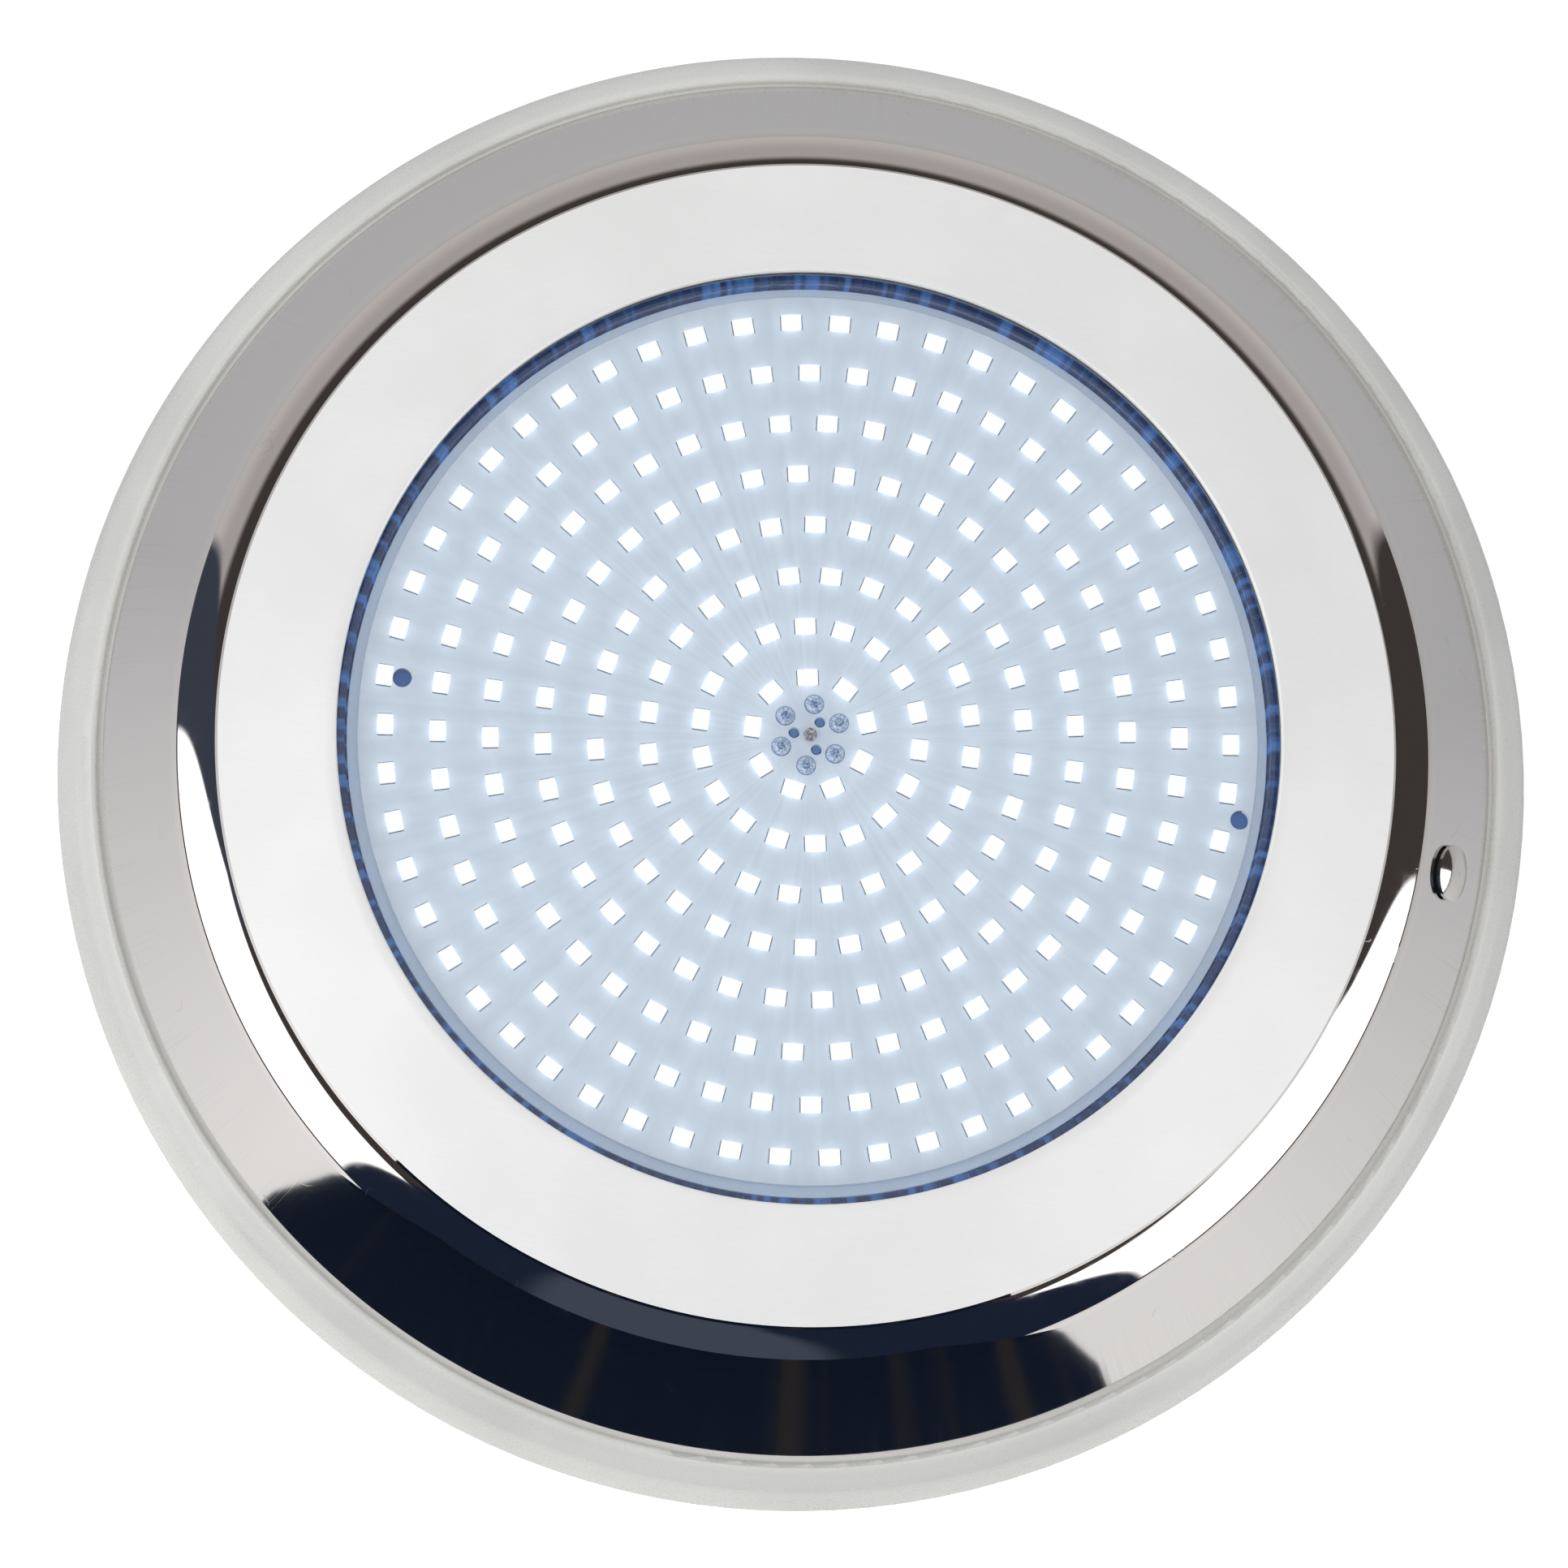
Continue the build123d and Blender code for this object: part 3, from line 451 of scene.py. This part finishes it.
def cover_outline():
    """Closed (radius, height) outline of the cover, and how its outer skin changes finish on the way out."""
    slope = math.radians(PLATE_DEG)
    edge_round = [(WINDOW_R, COVER_TOP - WINDOW_ROUND)]
    for degrees in (22.5, 45.0, 67.5, 90.0):
        turn = math.radians(degrees)
        edge_round.append((WINDOW_R + WINDOW_ROUND * (1 - math.cos(turn)),
                           COVER_TOP - WINDOW_ROUND * (1 - math.sin(turn))))
    plate_start = edge_round[-1]
    lip = (CREASE_R, COVER_TOP - (CREASE_R - plate_start[0]) * math.tan(slope))
    foot = (lip[0] + STEP_WALL[0], lip[1] - STEP_WALL[1])
    toe = (foot[0] + STEP_TOE[0], foot[1] - STEP_TOE[1])
    shoulder = arc_points(toe, SHOULDER_BEND_R, SHOULDER_DEG, CONE_DEG)
    cone_start = shoulder[-1]
    edge = (COVER_R, cone_start[1] - (COVER_R - cone_start[0]) * math.tan(math.radians(CONE_DEG)))
    inner_edge = below(edge, CONE_DEG, SHEET)
    inner_toe = below(toe, SHOULDER_DEG, SHEET)
    inner_arc = arc_points(inner_toe, SHOULDER_BEND_R - SHEET, SHOULDER_DEG, CONE_DEG)
    inner_lip = below(lip, PLATE_DEG, SHEET)
    window_foot = (WINDOW_R, COVER_TOP + WINDOW_ROUND * math.tan(slope) - SHEET / math.cos(slope))
    skin = divided(edge_round + [lip, foot, toe] + shoulder + [edge])
    inside = divided([inner_edge] + inner_arc[::-1] + [inner_toe, inner_lip, window_foot])
    return skin, inside, cone_start[0]


def turned(outline, steps=LATHE_STEPS):
    """Points and faces of a closed outline turned about the lamp's axis."""
    rows = len(outline)
    verts = []
    for step in range(steps):
        turn = 2 * math.pi * step / steps
        verts += [(r * math.cos(turn), r * math.sin(turn), z) for r, z in outline]
    faces = []
    for step in range(steps):
        here, there = step * rows, (step + 1) % steps * rows
        for row in range(rows):
            after = (row + 1) % rows
            faces.append((here + row, there + row, there + after, here + after))
    return verts, faces


def pin(name, radius, low, high, sides=48):
    """Upright closed cylinder with its own mesh, used as a tool or a stud."""
    outline = [(radius * math.cos(2 * math.pi * i / sides), radius * math.sin(2 * math.pi * i / sides))
               for i in range(sides)]
    verts = [(x, y, z) for z in (low, high) for x, y in outline]
    faces = [(i, (i + 1) % sides, sides + (i + 1) % sides, sides + i) for i in range(sides)]
    faces += [tuple(reversed(range(sides))), tuple(range(sides, 2 * sides))]
    return mesh_object(name, verts, faces, [])


def combine(target, tools, operation):
    """Boolean of an object with tools, applied; the tools are removed."""
    for tool in tools:
        modifier = target.modifiers.new("join", "BOOLEAN")
        modifier.operation = operation
        modifier.object = tool
        modifier.solver = "EXACT"
    evaluated = target.evaluated_get(bpy.context.evaluated_depsgraph_get())
    mesh = bpy.data.meshes.new_from_object(evaluated)
    target.modifiers.clear()
    target.data = mesh
    for tool in tools:
        bpy.data.objects.remove(tool)
    mesh.set_sharp_from_angle(angle=math.radians(30.0))


def stand_in(obj, body, slot_name, *nodes):
    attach(obj, body)
    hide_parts(*nodes)


# ---------------------------------------------------------------- pieces
def make_cover():
    """Pressed stainless cover: satin plate, small step, mirror shoulder, polished cone, welded studs."""
    skin, inside, cone_r = cover_outline()
    outline = skin + inside
    verts, faces = turned(outline)
    kinds = []
    for row in range(len(outline)):
        middle = (outline[row][0] + outline[(row + 1) % len(outline)][0]) / 2
        if row >= len(skin) - 1 or middle < CREASE_R:
            kinds.append(0)
        else:
            kinds.append(2 if middle > cone_r else 1)
    materials = [satin_steel(), polished_steel(), cone_steel()]
    cover = mesh_object("cover_ring", verts, faces, materials, kinds * LATHE_STEPS)
    studs = []
    for index in range(STUD_COUNT):
        stud = pin("stud", STUD_R, *STUD_SPAN)
        stud.rotation_euler.z = math.radians(STUD_FIRST_DEG + 360 * index / STUD_COUNT)
        stud.location = Matrix.Rotation(stud.rotation_euler.z, 3, "Z") @ Vector((STUD_PCD_R * MM, 0, 0))
        studs.append(stud)
    combine(cover, studs, "UNION")
    turn = next(joint for joint in frame["joints"] if joint["name"] == "lock_screw_turn")
    hole = pin("hole", LOCK_HOLE_R, -LOCK_TOOL_REACH, LOCK_TOOL_REACH)
    hole.rotation_mode = "QUATERNION"
    hole.rotation_quaternion = Vector(turn["axis"]).to_track_quat("Z", "Y")
    hole.location = turn["pos_m"]
    combine(cover, [hole], "DIFFERENCE")
    stand_in(cover, "light", "stainless", "steel_cover")


def led_count(ring):
    return 9 if ring == 1 else 6 * (ring + 1)


def led_spots(ring):
    """(radius, angle) of every LED of a ring. One LED of the last ring makes room for a hole."""
    count = led_count(ring)
    radius = FIRST_RING_R + RING_PITCH * (ring - 1)
    start = BOARD_TURN + (math.pi / count if ring == 1 else 0.0)
    spots = [(radius, start + 2 * math.pi * index / count) for index in range(count)]
    if ring == RING_COUNT:
        spots[count // 2] = (radius + CRAMPED_LED_SHIFT, math.pi + BOARD_TURN)
    return spots


def rounded_loop(width, length, corner, z, per_corner=4):
    """Points of a rounded rectangle; width runs along the lamp's radius."""
    points = []
    centres = ((1, 1), (-1, 1), (-1, -1), (1, -1))
    for index, (sx, sy) in enumerate(centres):
        for step in range(per_corner + 1):
            turn = math.pi / 2 * (index + step / per_corner)
            points.append((sx * (width / 2 - corner) + corner * math.cos(turn),
                           sy * (length / 2 - corner) + corner * math.sin(turn), z))
    return points


def circle_loop(radius, z, count):
    return [(radius * math.cos(2 * math.pi * i / count), radius * math.sin(2 * math.pi * i / count), z)
            for i in range(count)]


def led_model(bottom, top):
    """One LED: two tinned terminals, a rounded white body, and a domed window. Points, faces, finishes."""
    verts, faces, kinds = [], [], []

    def stack(loops, kind, close_top=True):
        start = len(verts)
        size = len(loops[0])
        for loop in loops:
            verts.extend(loop)
        for level in range(len(loops) - 1):
            for i in range(size):
                a = start + level * size
                j = (i + 1) % size
                faces.append((a + i, a + j, a + size + j, a + size + i))
                kinds.append(kind)
        faces.append(tuple(start + i for i in reversed(range(size))))
        kinds.append(kind)
        if close_top:
            last = start + (len(loops) - 1) * size
            faces.append(tuple(last + i for i in range(size)))
            kinds.append(kind)

    for side in (-1, 1):
        loops = []
        for z, inset in ((bottom, 0.0), (bottom + 0.12, 0.0), (bottom + 0.16, 0.05)):
            loop = rounded_loop(LED_PAD[0] - inset, LED_PAD[1] - inset, LED_PAD_CORNER, z, 2)
            loops.append([(x, y + side * LED_PAD_OFFSET, z) for x, y, z in loop])
        stack(loops, 2)
    body = [rounded_loop(LED_WIDTH, LED_LENGTH, LED_CORNER, bottom + 0.17),
            rounded_loop(LED_WIDTH, LED_LENGTH, LED_CORNER, top - 0.10),
            rounded_loop(2.66, 3.36, 0.20, top - 0.02), rounded_loop(2.5, 3.2, 0.20, top - 0.02)]
    stack(body, 0)
    window = [circle_loop(1.2, top - 0.019, 24), circle_loop(1.1, top - 0.008, 24),
              circle_loop(0.6, top, 24)]
    stack(window, 1)
    return verts, faces, kinds


def make_leds(materials):
    """Every ring of LEDs as one piece, in place of its CAD node."""
    for ring in range(1, RING_COUNT + 1):
        node = f"led_ring_{ring}"
        low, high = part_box(node)
        base_verts, base_faces, base_kinds = led_model(low.z / MM, high.z / MM)
        verts, faces, kinds = [], [], []
        for radius, angle in led_spots(ring):
            start = len(verts)
            c, s = math.cos(angle), math.sin(angle)
            verts += [((radius + x) * c - y * s, (radius + x) * s + y * c, z) for x, y, z in base_verts]
            faces += [tuple(start + i for i in face) for face in base_faces]
            kinds += base_kinds
        stand_in(mesh_object(f"leds_{ring}", verts, faces, materials, kinds), "light", "led_white", node)


def glow_at(x, y, spots):
    """Light on the board near the LEDs: a tight halo and a wide one round each."""
    total = 0.0
    for sx, sy in spots:
        gap = (x - sx) ** 2 + (y - sy) ** 2
        if gap < GLOW_REACH_SQUARED:
            total += sum(light * math.exp(-gap / spread) for light, spread in GLOW_HALOS)
    return min(1.0, total)


def make_board():
    """Round board as a fine grid of points that carry the light of the LEDs, with its drilled holes."""
    low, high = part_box("led_board")
    top, bottom = high.z / MM, low.z / MM
    rows = [BOARD_INNER_R + BOARD_ROW_PITCH * index for index in range(BOARD_ROWS)]
    rows.append(BOARD_R - BOARD_BEVEL)
    outline = [(r, top) for r in rows]
    outline += [(BOARD_R, top - BOARD_BEVEL), (BOARD_R, bottom), (BOARD_INNER_R, bottom)]
    verts, faces = turned(outline)
    count = len(outline)
    faces += [tuple(step * count for step in range(LATHE_STEPS)),
              tuple(step * count + count - 1 for step in reversed(range(LATHE_STEPS)))]
    faces = [face for face in faces if len(face) > 4 or face[0] % count != count - 1]
    board = mesh_object("board", verts, faces, [lit_board()])
    tools = []
    holes = [(r, a, BOARD_HOLE_R) for r, a in BOARD_HOLES]
    holes += [(r, a, WIRE_HOLE_R) for r, a in WIRE_HOLES]
    holes.append((0.0, 0.0, CENTRE_HOLE_R))
    for radius, angle, size in holes:
        tool = pin("drill", size, bottom - 1, top + 1)
        turn = math.radians(angle)
        tool.location = Vector((radius * math.cos(turn), radius * math.sin(turn), 0)) * MM
        tools.append(tool)
    combine(board, tools, "DIFFERENCE")
    spots = [(r * math.cos(a), r * math.sin(a))
             for ring in range(1, RING_COUNT + 1) for r, a in led_spots(ring)]
    glow = board.data.attributes.new("glow", "FLOAT", "POINT")
    values = [glow_at(v.co.x / MM, v.co.y / MM, spots) if v.co.z > high.z - 0.0002 else 0.0
              for v in board.data.vertices]
    glow.data.foreach_set("value", values)
    stand_in(board, "light", "board_white", "led_board")


# ---------------------------------------------------------------- finishes of the carried-over nodes
def slot_finishes():
    """Material for every slot whose CAD nodes keep their own shape."""
    return {
        "base_plastic": frosted_plastic(),
        "stainless": finish("hook_steel", (0.50, 0.49, 0.48), (0.60, 0.59, 0.58), 0.35, 1.0),
        "screw_steel": finish("screw_steel", (0.60, 0.58, 0.56), (0.68, 0.66, 0.64), 0.10, 1.0, depth=0.01),
        "zinc_steel": finish("zinc_steel", (0.52, 0.54, 0.56), (0.64, 0.65, 0.66), 0.32, 1.0),
        "brass": finish("brass", (0.62, 0.44, 0.16), (0.72, 0.54, 0.24), 0.28, 1.0),
        "lens_clear": clear_lens(),
        "rubber_black": finish("rubber_black", (0.012, 0.012, 0.013), (0.022, 0.022, 0.023), 0.62,
                               depth=0.12),
        "rubber_clear": finish("rubber_clear", (0.42, 0.46, 0.50), (0.52, 0.56, 0.60), 0.45,
                               Subsurface_Weight=0.3, Subsurface_Scale=0.003),
        "housing_blue_black": blue_wall(),
        "board_green": finish("board_green", (0.008, 0.10, 0.035), (0.014, 0.15, 0.055), 0.36),
        "solder": outlined_solder(),
        "thermal_grey": finish("thermal_grey", (0.26, 0.27, 0.28), (0.34, 0.35, 0.36), 0.75, depth=0.12),
        "aluminium": lit_aluminium(),
        "component_black": finish("component_black", (0.014, 0.014, 0.015), (0.03, 0.03, 0.032), 0.48,
                                  depth=0.1),
        "capacitor_sleeve": finish("capacitor_sleeve", (0.012, 0.02, 0.05), (0.02, 0.035, 0.08), 0.25),
        "ferrite": finish("ferrite", (0.03, 0.029, 0.028), (0.055, 0.053, 0.05), 0.58, depth=0.12),
        "block_green": finish("block_green", (0.02, 0.22, 0.07), (0.035, 0.29, 0.10), 0.35),
        # Painted shade and light: the white wire ends are painted deep blue and glow blue, as they look in
        # their holes under the LEDs.
        "wire_white": finish("wire_white", (0.03, 0.09, 0.22), (0.05, 0.12, 0.28), 0.42,
                             Emission_Color=(0.03, 0.08, 0.20, 1.0), Emission_Strength=0.7),
        "gland_black": finish("gland_black", (0.014, 0.014, 0.016), (0.026, 0.026, 0.028), 0.42, depth=0.1),
    }


def finish_nodes():
    """Gives each CAD node that is shown the finish of its slot."""
    finishes = slot_finishes()
    centre_screw = finish("centre_screw", (0.10, 0.10, 0.13), (0.62, 0.60, 0.60), 0.25, 1.0, patch=0.0006)
    for key, node in frame["nodes"].items():
        for holder in node.material_slots:
            name = holder.material.name.split(".")[0]
            if key == "board_centre_screw":
                holder.material = centre_screw
            elif name in finishes:
                holder.material = finishes[name]


# ---------------------------------------------------------------- studio
def sector(tree, flat, height, start_deg, end_deg, low_deg, high_deg, soft_deg, soft_height_deg):
    """Mask of a patch of sky between two bearings and two elevations."""
    middle = math.radians((start_deg + end_deg) / 2)
    half = math.radians((end_deg - start_deg) / 2)
    facing = vector_calc(tree, "DOT_PRODUCT", flat, (math.cos(middle), math.sin(middle), 0.0), output=1)
    side = ramp(tree, facing, math.cos(half + math.radians(soft_deg)), math.cos(half))
    low_soft, high_soft = low_deg - soft_height_deg, min(high_deg + soft_height_deg, 90.0)
    rise = ramp(tree, height, math.sin(math.radians(low_soft)), math.sin(math.radians(low_deg)))
    top = ramp(tree, height, math.sin(math.radians(high_deg)), math.sin(math.radians(high_soft)), 1.0, 0.0)
    return calc(tree, "MULTIPLY", side, calc(tree, "MULTIPLY", rise, top))


# Each patch of the studio: its two bearings, its two elevations, the softness of its sides and of its ends,
# all in degrees, and its light. Later patches lie over earlier ones.
PATCHES = (
    (41.0, 164.0, -2.0, 43.0, 3.0, 11.0, (0.52, 0.49, 0.485)),
    (41.0, 164.0, -2.0, 4.0, 3.0, 30.0, (0.67, 0.64, 0.635)),
    (163.0, 185.0, -2.0, 89.0, 2.0, 1.0, (0.055, 0.065, 0.095)),
    (229.0, 321.0, -2.0, 89.0, 2.0, 1.0, (0.013, 0.021, 0.044)),
    (256.0, 285.0, 26.0, 75.0, 5.0, 10.0, (0.070, 0.085, 0.125)),
    (181.0, 228.6, 3.0, 67.0, 1.2, 1.5, (2.3, 2.3, 2.3)),
    (321.5, 368.0, 3.0, 67.0, 1.2, 1.5, (2.3, 2.3, 2.3)),
)
NEAR_BEARING = math.radians(275.0)
ROOM_BROWN = (0.062, 0.053, 0.050)
SOFT_LIGHT = (0.93, 0.945, 0.96)

FLOOR_RINGS = (100.0, 400.0, 2500.0)
FLOOR_STEPS = 96
FLOOR_Z = -0.05
FLOOR_LIFT = 0.62

CARD_R = 168.0
CARD_SPAN_DEG = (229.5, 308.5)
CARD_STEPS = 40
CARD_TAPER_STEPS = 7
CARD_END_HEIGHT = 12.0
CARD_RISE = 58.0


def make_world():
    """Soft white light for every surface, and a studio of soft boxes and dark walls for gloss to mirror."""
    world = bpy.data.worlds.new("studio")
    bpy.context.scene.world = world
    world.use_nodes = True
    tree = world.node_tree
    tree.nodes.clear()
    direction = put(tree, "ShaderNodeTexCoord")
    flat = bearing_of(tree, direction)
    height = put(tree, "ShaderNodeSeparateXYZ", {0: direction}, 2)
    mixed = ROOM_BROWN
    for start, end, low, high, soft, soft_height, light in PATCHES:
        mask = sector(tree, flat, height, start, end, low, high, soft, soft_height)
        mixed = blend_colours(tree, mask, mixed, light)
    glossy = put(tree, "ShaderNodeLightPath", output="Is Glossy Ray")
    through = put(tree, "ShaderNodeLightPath", output="Is Transmission Ray")
    mirrored = calc(tree, "MULTIPLY", glossy, calc(tree, "SUBTRACT", 1.0, through))
    seen = put(tree, "ShaderNodeLightPath", output="Is Camera Ray")
    soft = blend_colours(tree, seen, SOFT_LIGHT, (1.0, 1.0, 1.0))
    shade = put(tree, "ShaderNodeBackground", {0: blend_colours(tree, mirrored, soft, mixed), 1: 1.0})
    put(tree, "ShaderNodeOutputWorld", {0: shade})


def make_floor():
    """Plain floor in the wall's plane: white to the eye; in what steel mirrors it is palest on the near side
    and grey elsewhere, painted light and shade by bearing.
    """
    verts, faces = turned([(radius, FLOOR_Z) for radius in FLOOR_RINGS], FLOOR_STEPS)
    count = len(FLOOR_RINGS)
    faces = [face for face in faces if face[0] % count != count - 1]
    faces.append(tuple(step * count for step in range(FLOOR_STEPS)))
    material = bpy.data.materials.new("floor_white")
    material.use_nodes = True
    tree = material.node_tree
    tree.nodes.clear()
    tone = noise(tree, place(tree), 3.0)
    near = (math.cos(NEAR_BEARING), math.sin(NEAR_BEARING), 0.0)
    facing = vector_calc(tree, "DOT_PRODUCT", bearing_of(tree, place(tree)), near, output=1)
    shift = calc(tree, "MULTIPLY", calc(tree, "SUBTRACT", tone, 0.5), 0.1)
    # Painted light and shade: the floor's tone changes with bearing round the lamp, which shows mostly in
    # what the steel mirrors.
    nearness = ramp(tree, calc(tree, "ADD", facing, shift), -0.25, 0.65, smooth=False)
    colour = blend_colours(tree, nearness, (0.545, 0.535, 0.54), (0.97, 0.95, 0.93))
    shade = put(tree, "ShaderNodeBsdfDiffuse", {0: colour})
    seen = put(tree, "ShaderNodeLightPath", output="Is Camera Ray")
    glow = calc(tree, "MULTIPLY", seen, FLOOR_LIFT)
    lift = put(tree, "ShaderNodeEmission", {0: (1.0, 1.0, 1.0, 1.0), 1: glow})
    surface = put(tree, "ShaderNodeAddShader", {0: shade, 1: lift})
    put(tree, "ShaderNodeOutputMaterial", {0: surface})
    floor = mesh_object("floor", verts, faces, [material])


def navy_card():
    """Dark cloth with upright brownish bands."""
    material, tree, shader = new_material("card_navy")
    where = place(tree)
    bands = ramp(tree, noise(tree, bearing_of(tree, where), 9.0, detail=2.0), 0.56, 0.68)
    colour = blend_colours(tree, bands, (0.006, 0.012, 0.028), (0.030, 0.027, 0.029))
    tree.links.new(colour, shader.inputs["Base Color"])
    weave = noise(tree, where, 900.0, detail=2.0)
    tree.links.new(ramp(tree, weave, 0.3, 0.7, 0.85, 0.95), shader.inputs["Roughness"])
    set_sockets(shader, Specular_IOR_Level=0.03)
    return material


def make_dark_card():
    """Dark curved card on the near side, lower at its ends, seen only in what the steel mirrors."""
    start, end = CARD_SPAN_DEG
    verts, faces = [], []
    for index in range(CARD_STEPS + 1):
        turn = math.radians(start + (end - start) * index / CARD_STEPS)
        taper = min(1.0, index / CARD_TAPER_STEPS, (CARD_STEPS - index) / CARD_TAPER_STEPS)
        height = CARD_END_HEIGHT + CARD_RISE * taper
        verts += [(CARD_R * math.cos(turn), CARD_R * math.sin(turn), z) for z in (0.0, height)]
    for index in range(CARD_STEPS):
        a = 2 * index
        faces.append((a, a + 2, a + 3, a + 1))
    card = mesh_object("dark_card", verts, faces, [navy_card()])
    card.visible_camera = False
    card.visible_diffuse = False
    card.visible_shadow = False
    card.visible_transmission = False


def make_light():
    """One large soft lamp from the upper left of the picture gives the plastic its form."""
    data = bpy.data.lights.new("key", "AREA")
    data.shape = "DISK"
    data.size = 0.9
    data.energy = 7.0
    key = bpy.data.objects.new("key", data)
    bpy.context.scene.collection.objects.link(key)
    key.location = (-0.95, -0.45, 1.15)
    key.rotation_mode = "QUATERNION"
    key.rotation_quaternion = (-key.location).to_track_quat("-Z", "Y")
    key.visible_glossy = False


def make_camera():
    """Camera square above the lamp but leaning 10 degrees towards its near side, and turned."""
    back = Vector((math.cos(CAMERA_ELEVATION) * math.cos(CAMERA_AZIMUTH),
                   math.cos(CAMERA_ELEVATION) * math.sin(CAMERA_AZIMUTH), math.sin(CAMERA_ELEVATION)))
    level = Vector((-math.sin(CAMERA_AZIMUTH), math.cos(CAMERA_AZIMUTH), 0.0))
    upright = back.cross(level)
    right = math.cos(CAMERA_ROLL) * level + math.sin(CAMERA_ROLL) * upright
    up = back.cross(right)
    data = bpy.data.cameras.new("camera")
    data.lens = CAMERA_LENS
    data.sensor_width = 36.0
    camera = bpy.data.objects.new("camera", data)
    bpy.context.scene.collection.objects.link(camera)
    camera.matrix_world = Matrix.Translation(TARGET + back * CAMERA_DISTANCE) @ Matrix(
        (right, up, back)).transposed().to_4x4()
    bpy.context.scene.camera = camera


make_camera()
bpy.context.scene.view_settings.view_transform = "Standard"
make_world()
make_floor()
make_dark_card()
make_light()
finish_nodes()
make_cover()
make_board()
make_leds([lit_surface("led_body", (0.86, 0.88, 0.90), (0.90, 0.96, 1.0), 0.60, 0.4),
           lit_surface("led_window", (0.95, 0.92, 0.75), (0.96, 0.98, 1.0), 1.5, 0.3),
           finish("led_terminals", (0.17, 0.19, 0.22), (0.27, 0.29, 0.33), 0.35, 0.3, patch=0.001)])
